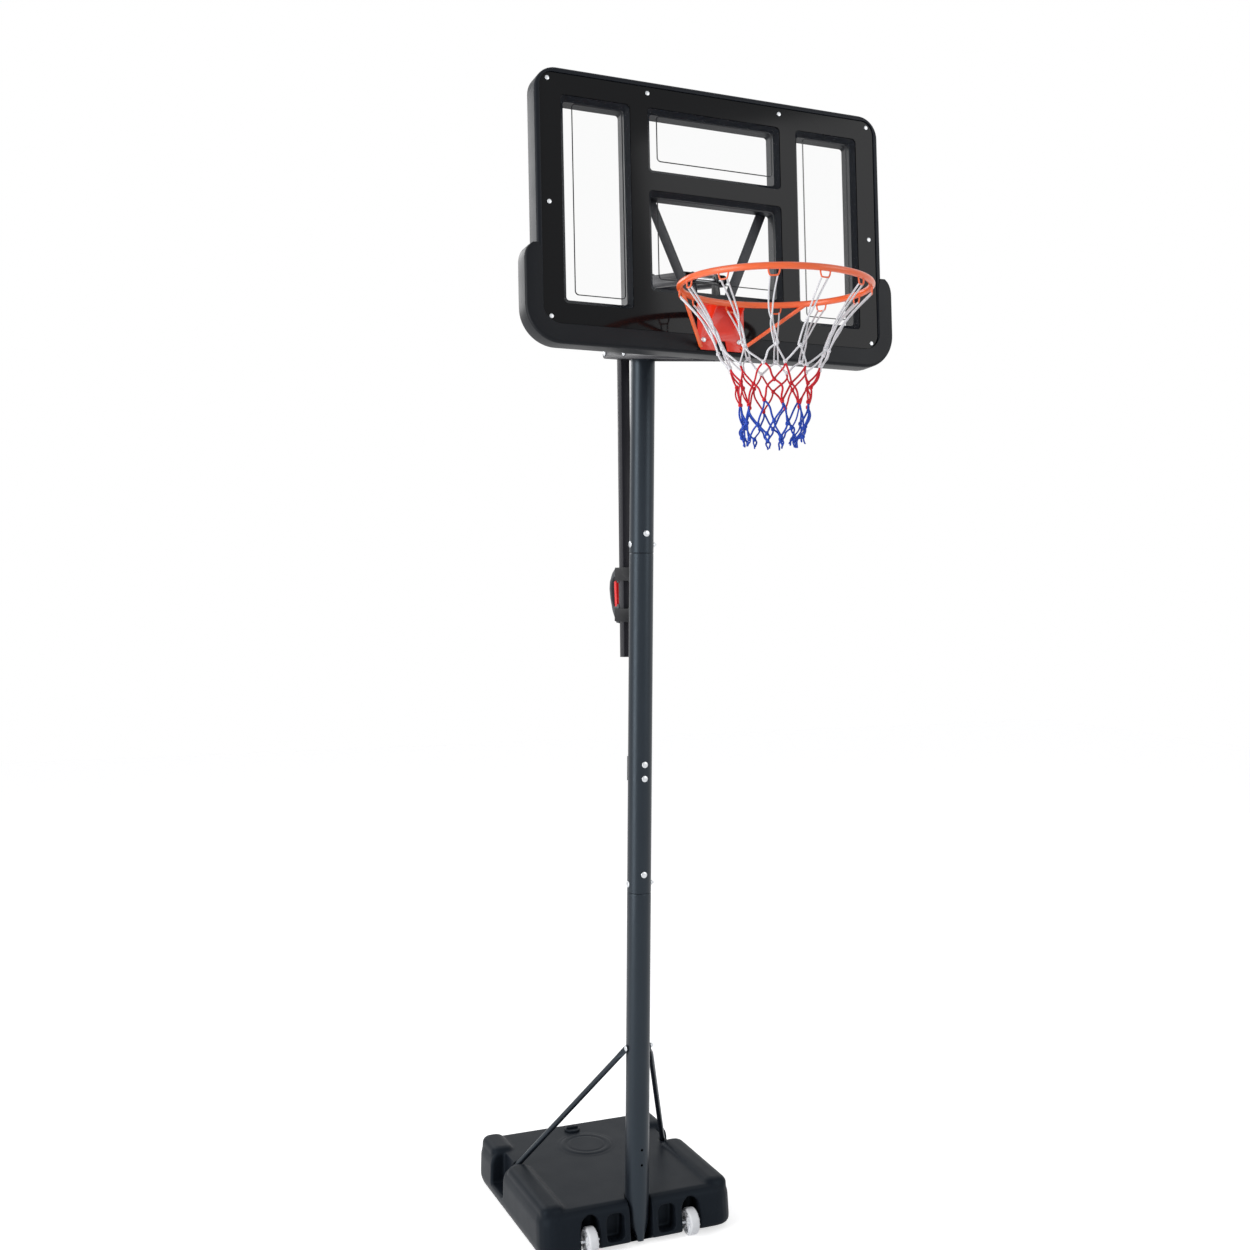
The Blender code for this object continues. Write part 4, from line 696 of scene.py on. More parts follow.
build("board_clear_sheet", [sheet_grid()], SHEET_FINISH, "board", ["board_sheet"])

# %% [markdown]
# ## The bumper pad
# A U of moulded pad hugs the lower edge, thick below and at the sides, with a flange that laps
# over the frame's lip. Its two ends slope down and outwards. It is a rounded section carried
# along the U, between an inner outline on the frame and an outer one.

# %% Pad
PAD_THICK, PAD_BELOW, PAD_TOP = 0.034, 0.038, 0.184
PAD_CORNER = 0.095
PAD_EDGE = 0.009
PAD_SLOT = 0.0722
PAD_SHOULDER = 0.76


def pad_edges():
    """Matching points on the pad's inner and outer outlines, from the left end round to the right."""
    inner_u, inner_w = FRAME_HALF, FRAME_LOW
    outer_u, outer_w = inner_u + PAD_THICK, inner_w - PAD_BELOW
    turn = np.radians(np.linspace(0, 90, 17))
    rise = np.linspace(PAD_TOP - 0.002, outer_w + PAD_CORNER, 22)[:-1]
    inner_leg = np.c_[np.full(len(rise), inner_u), rise]
    outer_leg = np.c_[np.full(len(rise), outer_u), rise]
    inner_bend = np.c_[inner_u - FRAME_CORNER + FRAME_CORNER * np.cos(turn),
                       inner_w + FRAME_CORNER - FRAME_CORNER * np.sin(turn)]
    outer_bend = np.c_[outer_u - PAD_CORNER + PAD_CORNER * np.cos(turn),
                       outer_w + PAD_CORNER - PAD_CORNER * np.sin(turn)]
    start = inner_u - PAD_CORNER
    across = np.concatenate([
        np.linspace(start, 0.0735, 24)[1:], [PAD_SLOT + 0.0001, 0.0715], np.linspace(0.06, 0, 6)])
    inner_run = np.c_[across, np.full(len(across), inner_w)]
    outer_run = np.c_[across, np.full(len(across), outer_w)]
    inner = np.vstack([inner_leg, inner_bend, inner_run])
    outer = np.vstack([outer_leg, outer_bend, outer_run])
    fade = np.clip((PAD_TOP - rise) / 0.045, 0.0, 1.0)
    reach = np.concatenate([
        0.12 + 0.88 * np.sqrt(1 - (1 - fade) ** 2), np.ones(len(outer_bend) + len(across))])
    outer = inner + (outer - inner) * reach[:, None]
    full_inner = np.vstack([inner * [-1, 1], inner[-2::-1]])
    full_outer = np.vstack([outer * [-1, 1], outer[-2::-1]])
    return full_inner, full_outer


def pad_grid():
    """Section points are (share of the way from inner to outer outline, depth), walked round as a loop."""
    inner, outer = pad_edges()
    front, back = -LIP_RISE - 0.0022, FRAME_DEPTH + 0.002
    turns = [np.radians(np.linspace(start, start + 90, 8)) for start in (270, 0)]
    round_share = [PAD_SHOULDER + (1 - PAD_SHOULDER) * np.cos(turn) for turn in turns]
    round_depth = [middle + PAD_EDGE * np.sin(turn)
                   for middle, turn in zip((front + PAD_EDGE, back - PAD_EDGE), turns)]
    share = np.concatenate([[-0.30, -0.33, -0.30, 0.0], *round_share, [0.0, 0.008]])
    depth = np.concatenate([
        [-LIP_RISE - 0.0002, front + 0.0012, front, front], *round_depth, [back, -LIP_RISE - 0.0002]])
    rows = []
    for near, far in zip(inner, outer):
        # The frame's tab hangs down in the middle, so there the section keeps to its outer part.
        kept = np.maximum(share, PAD_SHOULDER) if abs(near[0]) < PAD_SLOT else share
        spot = near + kept[:, None] * (far - near)
        rows.append(np.stack([spot[:, 0], depth, spot[:, 1]], 1))
    return shell(on_board(np.array(rows)))


pad = build("bumper_pad", [pad_grid()], PAD_FINISH, "board", ["board_pad"], sharp=35.0)

# %% [markdown]
# ## Bolts and screws
# Every fastener is a domed or hexagonal head, a shank, and a nut with a washer where one shows.
# A hexagon is a circle whose radius grows towards six corners. Its top is rounded where a cone
# would cut it, which is how real nuts are chamfered.


# %% Fasteners
def hexagon(t):
    """Radius of a hexagon over its inner radius: one over the cosine of the angle from the nearest flat."""
    return 1.0 / np.cos((t + pi / 6) % (pi / 3) - pi / 6)


def hex_nut(origin, axis, flat, height):
    """Six flats with both faces cut back at the corners by a shallow cone."""
    rows = [(0.82 * flat, 0.0), (0.97 * flat, 0.06 * height), (flat, 0.2 * height), (flat, 0.8 * height),
            (0.97 * flat, 0.94 * height), (0.82 * flat, height), (0.45 * flat, height)]
    t = np.linspace(0, 2 * pi, 48, endpoint=False)
    profile = np.array(rows)
    radius = profile[:, :1] * np.minimum(hexagon(t)[None], 1.09 + 0.06 * (profile[:, :1] >= flat))
    points = np.stack([radius * np.cos(t), radius * np.sin(t), np.repeat(profile[:, 1:], 48, 1)], -1)
    return shell(points @ facing(axis).T + np.asarray(origin))


def bolt(start, end, radius, head=2.4, nut=True):
    """Head at the start, shank to the end, and there a washer, a nut and the thread's tip."""
    start, end = np.asarray(start, float), np.asarray(end, float)
    length = float(np.linalg.norm(end - start))
    axis = (end - start) / length
    wide = radius * head
    dome = [(wide * cos(a), -radius * (0.12 + 0.66 * sin(a))) for a in np.linspace(0, pi / 2 - 0.08, 8)]
    profile = dome[::-1] + [(wide, 0.0), (radius, 0.0), (radius, length)]
    if nut:
        profile += [(radius, length + radius * 2.3), (radius * 0.8, length + radius * 2.6)]
    made = [lathe(profile, 32, start, axis)]
    if nut:
        made.append(lathe([(radius * 1.05, 0.0), (radius * 1.95, 0.0), (radius * 1.95, radius * 0.3),
                           (radius * 1.05, radius * 0.3)], 32, end + axis * 0.0001, axis, closed=True))
        made.append(hex_nut(end + axis * (radius * 0.3 + 0.0001), axis, radius * 1.6, radius * 1.3))
    return made


def fasten(node, body, start, end, radius=0.004, head=2.4, nut=True, mover=None):
    """A bolt or screw that stands for one CAD node; the mover, if any, carries it onto the board."""
    made = bolt(start, end, radius, head, nut)
    if mover:
        made = placed(made, mover)
    return build(f"{node}_bright", made, ZINC_FINISH, body, [node])


JOINTS = {"lower": 1.060, "upper": 2.075}
FRONT_BOLT_UP, SIDE_BOLT_UP = 0.058, 0.026
THROUGH = 0.0363
BRACE_TOP = 0.590
BRACE_THROUGH = 0.0401
BRACE_FOOT = (0.26905, 0.104, 0.098)
for label, joint in JOINTS.items():
    front, side = joint + FRONT_BOLT_UP, joint + SIDE_BOLT_UP
    fasten(f"{label}_joint_front_bolt", "stand", (0, POLE_Y - THROUGH, front), (0, POLE_Y + THROUGH, front))
    fasten(f"{label}_joint_side_bolt", "stand", (-THROUGH, POLE_Y, side), (THROUGH, POLE_Y, side))
for label, height in (("lower", 1.405), ("upper", 1.447)):
    fasten(f"stowage_bracket_bolt_{label}", "stand", (0, POLE_Y - THROUGH, height),
           (0, POLE_Y + THROUGH + 0.0033, height))
for label, height in (("lower", 1.885), ("upper", 2.016)):
    fasten(f"handle_bracket_bolt_{label}", "stand", (0, POLE_Y + 0.0396, height),
           (0, POLE_Y + 0.0216, height), nut=False)
fasten("brace_top_bolt", "stand", (-BRACE_THROUGH, POLE_Y, BRACE_TOP), (BRACE_THROUGH, POLE_Y, BRACE_TOP))
for name, sign in (("left", -1), ("right", 1)):
    x, y, z = BRACE_FOOT
    fasten(f"brace_foot_bolt_{name}", "stand", (sign * (x + 0.00205), y, z), (sign * (x - 0.022), y, z),
           nut=False)

# %% Pivot bolts, rim bolts and sheet screws
PIVOT_HALF = 0.0616
RIM_BOLT_FRONT = -0.0086
PIVOTS = {
    "lower_pivot_bolt": ("stand", LOWER_PIVOT, 0.0), "upper_pivot_bolt": ("stand", UPPER_PIVOT, 0.0),
    "board_lower_pivot_bolt": ("lower_arms", LOWER_PIVOT, -ARM_LENGTH),
    "strut_pivot_bolt": ("lower_arms", LOWER_PIVOT, ARM_TAIL),
    "board_upper_pivot_bolt": ("upper_arms", UPPER_PIVOT, -ARM_LENGTH)}
for name, (body, pivot, run) in PIVOTS.items():
    y, z = POLE_Y + run * cos(ARM_SLOPE), pivot + run * sin(ARM_SLOPE)
    fasten(name, body, (-PIVOT_HALF, y, z), (PIVOT_HALF, y, z), 0.005, head=1.7)
rim_spots = [(side * 0.052, w) for w in (-0.030, 0.045) for side in (-1, 1)]
for number, (u, w) in enumerate(rim_spots, 1):
    fasten(f"rim_bolt_{number}", "board", (u, RIM_BOLT_FRONT, w), (u, 0.0586, w), head=1.7, mover=on_board)
for name, (u, w) in screw_spots().items():
    fasten(name, "board", (u, -0.0003, w), (u, 0.012, w), 0.0022, head=2.7, nut=False, mover=on_board)

# %% [markdown]
# ## The ring
# The ring is a solid bar bent to a circle. Two straight brace rods run from its sides to the
# foot of the plate on the board, and twelve wire loops under the bar hold the net. The loops are
# rods along short bent paths, rounded at each corner.

# %% Ring, brace rods and net loops
RING_BAR = 0.008
HOOKS = 12
BRACE_ANGLE = radians(41.0)


def ring_bar():
    """Angle t round the ring, angle s round the bar."""
    t = np.linspace(0, 2 * pi, 192, endpoint=False)[:, None]
    s = np.linspace(0, 2 * pi, 24, endpoint=False)[None, :]
    reach = RING_RADIUS + RING_BAR * np.cos(s)
    x, y = reach * np.cos(t), reach * np.sin(t)
    points = np.stack([x, y, np.broadcast_to(RING_BAR * np.sin(s), x.shape)], -1)
    return shell(points + RING_CENTRE, close_rows=True)


def brace_rod(side):
    """A straight rod from the ring's side, a little under its middle, to the foot of the plate."""
    start = RING_CENTRE + [
        side * RING_RADIUS * cos(BRACE_ANGLE), RING_RADIUS * sin(BRACE_ANGLE), -RING_BAR * 0.3]
    end = on_board([side * 0.061, RIM_BOLT_FRONT, -0.048])
    return rod(np.linspace(start, end, 12), 0.005, 20)


def net_loop(number):
    """A wire that drops from the bar, runs level under it and rises again."""
    turn = 2 * pi * number / HOOKS
    half, bar = 0.013, -RING_BAR - 0.014
    rising = np.array([
        (half * 0.35, bar), (half * 0.75, bar + 0.0015), (half * 0.98, -0.012), (half, -0.003)])
    corners = np.vstack([rising[::-1] * [-1, 1], rising])
    bend = smooth_path(corners, 29)
    out = np.array([cos(turn), sin(turn), 0.0])
    across = np.array([-sin(turn), cos(turn), 0.0])
    path = RING_CENTRE + RING_RADIUS * out + bend[:, :1] * across + bend[:, 1:2] * np.array([0, 0, 1.0])
    return rod(path, 0.002, 10)


build("ring_and_loops",
      [ring_bar(), *[brace_rod(side) for side in (-1, 1)], *[net_loop(k) for k in range(HOOKS)]],
      RIM_FINISH, "board", ["rim_ring"], sharp=50.0)

# %% [markdown]
# ## The net
# Two cords hang side by side from every loop, twist once round each other and part again. Each
# then runs out to meet its neighbour in a knot between two loops. From there down the net is a
# mesh of diamonds, red, then blue, and it ends in short tails. Every cord is a rod along a curve
# between two knots, and every knot a small swollen ball. The cord's braid is a bump that follows
# the length of each cord, with painted shade in its furrows, so each carries a UV map.

# %% Net cords
NET_ROWS = [
    # depth below the ring, radius of the net there, shift in half columns, colour above
    (0.024, 0.233, 0, 0), (0.160, 0.138, 0, 0), (0.1985, 0.113, 1, 0), (0.243, 0.092, 0, 1),
    (0.289, 0.085, 1, 1), (0.337, 0.077, 0, 2), (0.368, 0.075, 1, 2)]
NET_CORD = 0.0025
rng = np.random.default_rng(7)


def knot_places():
    """For each row of the net, its knots in the room, each nudged a little as a hanging net's are."""
    rows = []
    for level, (depth, radius, shift, _) in enumerate(NET_ROWS):
        turn = 2 * pi * (np.arange(HOOKS) + shift * 0.5) / HOOKS
        loose = 0.0 if level == 0 else 0.0045
        turn = turn + rng.normal(0, loose / radius, HOOKS)
        drop = depth + rng.normal(0, loose * 0.7, HOOKS)
        wide = radius + rng.normal(0, loose * 0.7, HOOKS)
        rows.append(RING_CENTRE + np.stack([wide * np.cos(turn), wide * np.sin(turn), -drop], 1))
    return rows


def hanging(start, end, bow, side=0.0, count=14):
    """A cord between two knots: the straight line plus a half sine bow inwards and a sideways one."""
    t = np.linspace(0, 1, count)[:, None]
    inward = -np.array([start[0] - RING_CENTRE[0], start[1] - RING_CENTRE[1], 0.0])
    inward /= np.linalg.norm(inward)
    across = np.array([-inward[1], inward[0], 0.0])
    lift = np.sin(pi * t)
    sway = lift * side + np.sin(2 * pi * t) * side * 0.4
    return start + (end - start) * t + lift * bow * inward + sway * across


def twisted_pair(top, meet, turn):
    """Two cords from one loop: their gap narrows to a twist above the point where they part."""
    t = np.linspace(0, 1, 40)[:, None]
    across = np.array([-sin(turn), cos(turn), 0.0])
    out = np.array([cos(turn), sin(turn), 0.0])
    bow = -rng.normal(0.012, 0.003) * np.sin(pi * t) * out
    sway = rng.normal(0, 0.004) * np.sin(pi * t) * across
    twist = rng.normal(0.60, 0.06)
    gap = 0.0062 * np.abs(1 - t / twist) ** 0.7 * (1 - 0.45 * t) + 0.0026
    phase = pi / (1 + np.exp(-(t - twist) / 0.055))
    hung = top + np.array([0, 0, 0.004])
    middle = hung + (meet - hung) * t + bow + sway
    return [middle + sign * gap * (np.cos(phase) * across + np.sin(phase) * out) for sign in (-1, 1)]


def net_paths():
    """Each cord's path with its colour number."""
    knots = knot_places()
    paths = []
    for k in range(HOOKS):
        turn = 2 * pi * k / HOOKS
        paths += [(path, 0) for path in twisted_pair(knots[0][k], knots[1][k], turn)]
    for level in range(1, len(NET_ROWS) - 1):
        shift = NET_ROWS[level + 1][2]
        for k in range(HOOKS):
            for step in (0, -1) if shift else (0, 1):
                there = knots[level + 1][(k + step) % HOOKS]
                bend = rng.normal(0.0015, 0.0035) * (1 if step else -1)
                paths.append((hanging(knots[level][k], there, rng.normal(-0.003, 0.003), bend, 14),
                              NET_ROWS[level + 1][3]))
    for knot in knots[-1]:
        for sign in (-1, 1):
            drift = rng.normal(0, 0.007, 3) * [1, 1, 0.3]
            tip = knot + np.array([0, 0, -0.020 + rng.normal(0, 0.003)]) + drift
            paths.append((hanging(knot, tip, 0.002, sign * 0.004, 8), 2))
    return knots, paths


knots, cords = net_paths()
print("net:", len(cords), "cords between", sum(len(row) for row in knots), "knots")


# %% Net material and mesh
def net_cord_finish(name, code, darker_paint_and_furrow_shade):
    """Two crossing spirals along the cord make its braid; the furrows between them take a darker colour as
    painted shade.
    """
    made = Finish(name, linear(code), 0.75)
    uv = made.node("ShaderNodeUVMap", {"uv_map": "along"})
    run, about = made.axis(uv, "X"), made.axis(uv, "Y")
    weave = (run * 1400.0).maths("SINE", run * 1400.0 + about * 6.0) * 0.5 + 0.5
    cross = (run * 1400.0).maths("SINE", run * 1400.0 - about * 6.0) * 0.5 + 0.5
    braid = weave.high(cross)
    # Painted shade: the braid's furrows take the darker colour, and its crests take the cord's own colour.
    made.set("Base Color", made.blend(braid.ramp(0.2, 0.9), linear(darker_paint_and_furrow_shade), linear(code)))
    made.set("Roughness", braid * -0.1 + 0.85)
    made.bump(braid, 0.0004, 0.8)
    return made.material


def net_piece(name, colour, finish, replaces):
    """Every cord and knot of one colour, as one piece."""
    shells, shapes = [], []
    for path, number in cords:
        if number == colour:
            radius = np.full(len(path), NET_CORD)
            radius[[0, -1]] *= 0.9
            shells.append(rod(path, radius, 8, flat=0.8))
            shapes.append((len(path), 8))
    for level, row in enumerate(knots):
        if level and NET_ROWS[level][3] == colour:
            for knot in row:
                t = np.linspace(-1, 1, 9)
                path = knot + np.c_[np.zeros((9, 2)), t * 0.0055]
                ball = rod(path, NET_CORD * (0.55 + 1.45 * np.sqrt(np.maximum(1 - t ** 2, 0))), 10)
                shells.append(ball)
                shapes.append((9, 10))
    return build(name, shells, finish, "board", replaces, sharp=80.0, uv_shapes=shapes)


# Each cord's second colour is painted shade for the furrows of its braid.
NET_FINISHES = [
    net_cord_finish("net_white", "f1f1f4", "b9b9c4"), net_cord_finish("net_red", "e0182c", "8f0d1c"),
    net_cord_finish("net_blue", "1f4fc8", "122c74")]
for colour, name in enumerate(("net_upper_white", "net_middle_red", "net_lower_blue")):
    net_piece(name, colour, NET_FINISHES[colour], ["net"] if colour == 0 else [])

# %% [markdown]
# ## The pole
# Each section is a drawn tube. The two lower ones are drawn in at the top to stand inside the
# section above, and the foot is squeezed to a wedge that drops into the base. The lathe gives
# the tube, and the wedge comes from narrowing it across as it nears the floor. Two bolt holes
# low on its front are left empty and cut with a Boolean.

# %% Pole sections and cap
POLE_RADIUS = 0.036
POLE_BORE = 0.0315
POLE_NECK = 0.0339
POLE_TOP = 2.890
POLE_FOOT = 0.0105
FOOT_TAPER, FOOT_HALF = 0.070, 0.012
NECK_LENGTH = 0.030
SPARE_HOLES = (0.242, 0.288)


def tube_section(low, high, inner_top, neck):
    """Profile of one section, outside up and inside down, with a rolled edge at the upper joint."""
    edge = 0.0012
    outside = [(POLE_RADIUS - edge, low), (POLE_RADIUS, low + edge)]
    outside += [(POLE_RADIUS, h) for h in np.linspace(low + 0.02, high - 0.004, 12)]
    outside += [(POLE_RADIUS - 0.0004, high - 0.0008), (POLE_RADIUS - edge, high)]
    if neck:
        outside += [(POLE_NECK, high + 0.0004), (POLE_NECK, high + NECK_LENGTH)]
    return outside + [(POLE_BORE, inner_top), (POLE_BORE, low + 0.0005)]


def squeezed(points):
    """Below the taper the tube is narrowed across X and stays as deep."""
    share = np.clip((points[:, 2] - POLE_FOOT) / FOOT_TAPER, 0.0, 1.0)
    limit = FOOT_HALF + (POLE_RADIUS - FOOT_HALF) * share * share * (3 - 2 * share)
    moved = points.copy()
    moved[:, 0] = np.clip(moved[:, 0], -limit, limit) * 0.6 + moved[:, 0] * limit / POLE_RADIUS * 0.4
    return moved


def pole_lower_grid():
    """The lowest section's profile, close set where the foot tapers, and the foot squeezed afterwards."""
    joint = JOINTS["lower"]
    heights = np.concatenate([
        np.linspace(POLE_FOOT, 0.11, 24), np.linspace(0.14, 0.33, 12), np.linspace(0.38, joint - 0.0044, 9)])
    profile = [(POLE_RADIUS, h) for h in heights]
    profile += [(POLE_RADIUS - 0.0004, joint - 0.0008), (POLE_RADIUS - 0.0012, joint),
                (POLE_NECK, joint + 0.0004), (POLE_NECK, joint + NECK_LENGTH)]
    profile += [(POLE_BORE, joint + NECK_LENGTH), (POLE_BORE, 0.10)]
    inside = [(POLE_BORE, h) for h in np.linspace(0.09, POLE_FOOT + 0.0005, 12)]
    grid = lathe(profile + inside, 96, closed=True)
    return squeezed(grid[0]) + [0, POLE_Y, 0], grid[1]


def spare_holes():
    """Two short bars standing in the front of the tube, for a Boolean to take away."""
    return [lathe([(0.004, 0.0), (0.004, 0.03)], 24, (0, POLE_Y - POLE_RADIUS - 0.01, height), (0, 1, 0))
            for height in SPARE_HOLES]


lower_tube = drilled(mesh_of("pole_lower_tube", [pole_lower_grid()]), spare_holes())
finish_mesh("pole_lower_tube", lower_tube, POLE_FINISH, "stand", ["pole_lower"])
sections = {
    "middle": tube_section(JOINTS["lower"] + 0.0003, JOINTS["upper"], JOINTS["upper"] + NECK_LENGTH, True),
    "upper": tube_section(JOINTS["upper"] + 0.0003, POLE_TOP, POLE_TOP, False)}
for name, section in sections.items():
    build(f"pole_{name}_tube", [lathe(section, 96, (0, POLE_Y, 0), closed=True)],
          POLE_FINISH, "stand", [f"pole_{name}"])
cap_dome = [(POLE_RADIUS * cos(a), POLE_TOP + 0.0045 + 0.0055 * sin(a))
            for a in np.linspace(0, pi / 2 - 0.1, 8)]
cap_plug = [(POLE_NECK - 0.002, POLE_TOP - 0.016), (POLE_NECK, POLE_TOP - 0.013),
            (POLE_NECK, POLE_TOP + 0.0003), (POLE_RADIUS - 0.0006, POLE_TOP + 0.0003),
            (POLE_RADIUS, POLE_TOP + 0.001)]
build("pole_cap_moulded", [lathe(cap_plug + cap_dome, 96, (0, POLE_Y, 0))], PAD_FINISH, "stand", ["pole_cap"])

# %% [markdown]
# ## Braces
# Each brace is a round tube pressed flat at its two ends and drilled for a bolt. The section
# goes from a circle to a thin oval: as one half-width shrinks the other grows, since the wall
# keeps its length.

# %% Braces
EAR = 0.0035
EAR_HALF = 0.0105
BRACE_RADIUS = 0.0085


def brace_grid(side):
    """A superellipse carried from ear to ear, its two half-widths set by the distance from the nearer end."""
    head = np.array([side * (POLE_RADIUS + 0.0003 + EAR / 2), POLE_Y, BRACE_TOP])
    foot = np.array(BRACE_FOOT) * [side, 1, 1]
    run = foot - head
    length = np.linalg.norm(run)
    run /= length
    thin = np.array([side, 0.0, 0.0]) - run * (side * run[0])
    thin /= np.linalg.norm(thin)
    wide = np.cross(run, thin)
    s = np.concatenate([np.linspace(-0.010, 0.0, 6), np.linspace(0.006, 0.060, 14)])
    t_end = np.concatenate([s, [length / 2], length - s[::-1]])
    near = np.minimum(t_end, length - t_end)
    share = np.clip((near - 0.012) / 0.038, 0.0, 1.0)
    share = share * share * (3 - 2 * share)
    tip = np.sqrt(np.clip(1 - (np.clip(-near, 0, 0.0100) / 0.0102) ** 2, 0.02, 1))
    half_thin = EAR / 2 + (BRACE_RADIUS - EAR / 2) * share
    half_wide = (EAR_HALF + (BRACE_RADIUS - EAR_HALF) * share) * tip
    t = np.linspace(0, 2 * pi, 28, endpoint=False)
    square = 1.0 - 0.75 * (1 - share)[:, None]
    c, s2 = np.cos(t)[None, :], np.sin(t)[None, :]
    c_flat, s_flat = np.sign(c) * np.abs(c) ** square, np.sign(s2) * np.abs(s2) ** (0.4 + 0.6 * square)
    centre = head + np.outer(t_end, run)
    points = (centre[:, None] + (half_thin[:, None] * c_flat)[..., None] * thin
              + (half_wide[:, None] * s_flat)[..., None] * wide)
    return shell(points)


for name, sign in (("left", -1), ("right", 1)):
    build(f"brace_{name}_tube", [brace_grid(sign)], POLE_FINISH, "stand", [f"brace_{name}"])

# %% [markdown]
# ## Wheels
# A small moulded wheel: a hub with a bore, a thin web with spokes standing on it, and a tread
# with rounded edges. Its outline is turned about X. The spokes come from lifting the web where
# the angle is near one of six directions.

# %% Wheels and axles
WHEEL_CENTRE = np.array([0.165, -0.316, 0.0415])


def wheel_grid(side):
    """The outline turned to each angle t, and moved outward where it is on the web near a spoke."""
    half, radius = 0.015, 0.040
    crown = arc(radius - 0.006, half - 0.006, 0.006, 90, 0, 5)
    face = [(0.0056, half), (0.0125, half), (0.0145, half - 0.001), (0.0160, half - 0.006),
            (0.0200, half - 0.0075), (0.0260, half - 0.0075), (0.0295, half - 0.006),
            (0.0308, half - 0.001), (0.0320, half)]
    outline = np.vstack([face, crown])
    both = np.vstack([outline, outline[::-1] * [1, -1]])
    t = np.linspace(0, 2 * pi, 96, endpoint=False)
    web = ((both[:, 0] > 0.0145) & (both[:, 0] < 0.0310))[:, None]
    spoke = np.clip(1.6 - 7.0 * np.abs(np.sin(3 * t)), 0.0, 1.0)[None, :]
    height = np.where(web, both[:, 1:] + np.sign(both[:, 1:]) * 0.0055 * spoke, both[:, 1:])
    points = np.stack([height, both[:, :1] * np.cos(t), both[:, :1] * np.sin(t)], -1)
    centre = WHEEL_CENTRE * [side, 1, 1]
    return shell(points + centre, close_rows=True)


for name, sign in (("left", -1), ("right", 1)):
    build(f"wheel_{name}_moulded", [wheel_grid(sign)], WHEEL_FINISH, f"wheel_{name}", [f"wheel_{name}"])
    low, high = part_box(f"wheel_axle_{name}")
    ends = [(low[0], WHEEL_CENTRE[1], WHEEL_CENTRE[2]), (high[0], WHEEL_CENTRE[1], WHEEL_CENTRE[2])]
    build(f"wheel_axle_{name}_bar", [rod(np.linspace(*ends, 8), 0.005, 24)], ZINC_FINISH, "stand",
          [f"wheel_axle_{name}"])

# %% [markdown]
# ## The base tank
# A tank is blown like a bottle, so every edge is soft. The CAD solid has the right form with
# crisp edges. A copy is rebuilt from small even cells and then relaxed, which rounds each edge
# as blow moulding does. Two ring grooves, one inside the other, are pressed into the top by
# moving its points down by a formula.


# %% Copy of a CAD solid
def merged_copy(node):
    """A CAD node's mesh, welded and with its flat faces made whole."""
    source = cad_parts[node]
    bm = bmesh.new()
    bm.from_mesh(source.data)
    bmesh.ops.remove_doubles(bm, verts=bm.verts, dist=0.00003)
    bmesh.ops.dissolve_limit(bm, angle_limit=radians(0.5), verts=bm.verts, edges=bm.edges)
    mesh = bpy.data.meshes.new(node + "_copy")
    bm.to_mesh(mesh)
    bm.free()
    return mesh


GROOVE_Y = 0.130
GROOVES = [(0.085, 0.0022, 0.0035), (0.063, 0.0018, 0.003)]


def base_details(points):
    """Each groove (radius, depth, width) is a bell curve of the distance from the grooves' centre."""
    x, y, z = points.T
    away = np.hypot(x, y - GROOVE_Y)
    on_top = np.clip((z - 0.120) / 0.010, 0, 1)
    sunk = sum(depth * np.exp(-((away - radius) / width) ** 2) for radius, depth, width in GROOVES)
    moved = points.copy()
    moved[:, 2] -= on_top * sunk
    return moved


def tank():
    """The CAD copy in even cells, relaxed, with its grooves."""
    mesh = applied(merged_copy("base_tank"), [
        ("REMESH", {"mode": "VOXEL", "voxel_size": 0.0042}),
        ("SMOOTH", {"factor": 0.5, "iterations": 5})])
    points = np.zeros(len(mesh.vertices) * 3)
    mesh.vertices.foreach_get("co", points)
    mesh.vertices.foreach_set("co", base_details(points.reshape(-1, 3)).ravel())
    return mesh


finish_mesh("base_tank_blown", tank(), BASE_FINISH, "stand", ["base_tank"], sharp=180.0)

# %% Filler cap
CAP_Y, CAP_TOP = 0.258, 0.142


def filler_cap():
    """A plug under a disc, their radius rippled into 24 grips, and a bar across the top to turn it by."""
    profile = [(0.017, 0.115), (0.0196, 0.118), (0.0196, 0.1356), (0.026, 0.1356), (0.026, CAP_TOP - 0.002),
               (0.0252, CAP_TOP - 0.0006), (0.0238, CAP_TOP), (0.0200, CAP_TOP),
               (0.0190, CAP_TOP - 0.0012), (0.004, CAP_TOP - 0.0012)]
    screw = lathe(profile, 96, (0, CAP_Y, 0), around=lambda turn: 1.0 + 0.010 * np.cos(24 * turn))
    bar = soft_block((-0.0205, CAP_Y - 0.003, CAP_TOP - 0.002), (0.0205, CAP_Y + 0.003, 0.147), 0.0018)
    return [screw, bar]


build("filler_cap_moulded", filler_cap(), BASE_FINISH, "cap", ["filler_cap"])

# %% [markdown]
# ## Sheet metal, arms and handle
# The arms and the strut are square tube, and the brackets are folded plate. Their CAD solids are
# right, so copies keep the shape and gain what a brake press and a saw leave: small rounds along
# every edge, made by a Bevel.


# %% Bevelled copies
TUBE_EDGE, PLATE_EDGE = 0.0008, 0.0006


def bevelled(node, body, finish, width=TUBE_EDGE):
    """A copy of a CAD node with every edge sharper than 40 degrees cut back by two small steps."""
    mesh = applied(merged_copy(node), [
        ("BEVEL", {"width": width, "segments": 2, "limit_method": "ANGLE", "angle_limit": radians(40.0),
                   "miter_outer": "MITER_ARC"})])
    return finish_mesh(f"{node}_finished", mesh, finish, body, [node], 35.0)


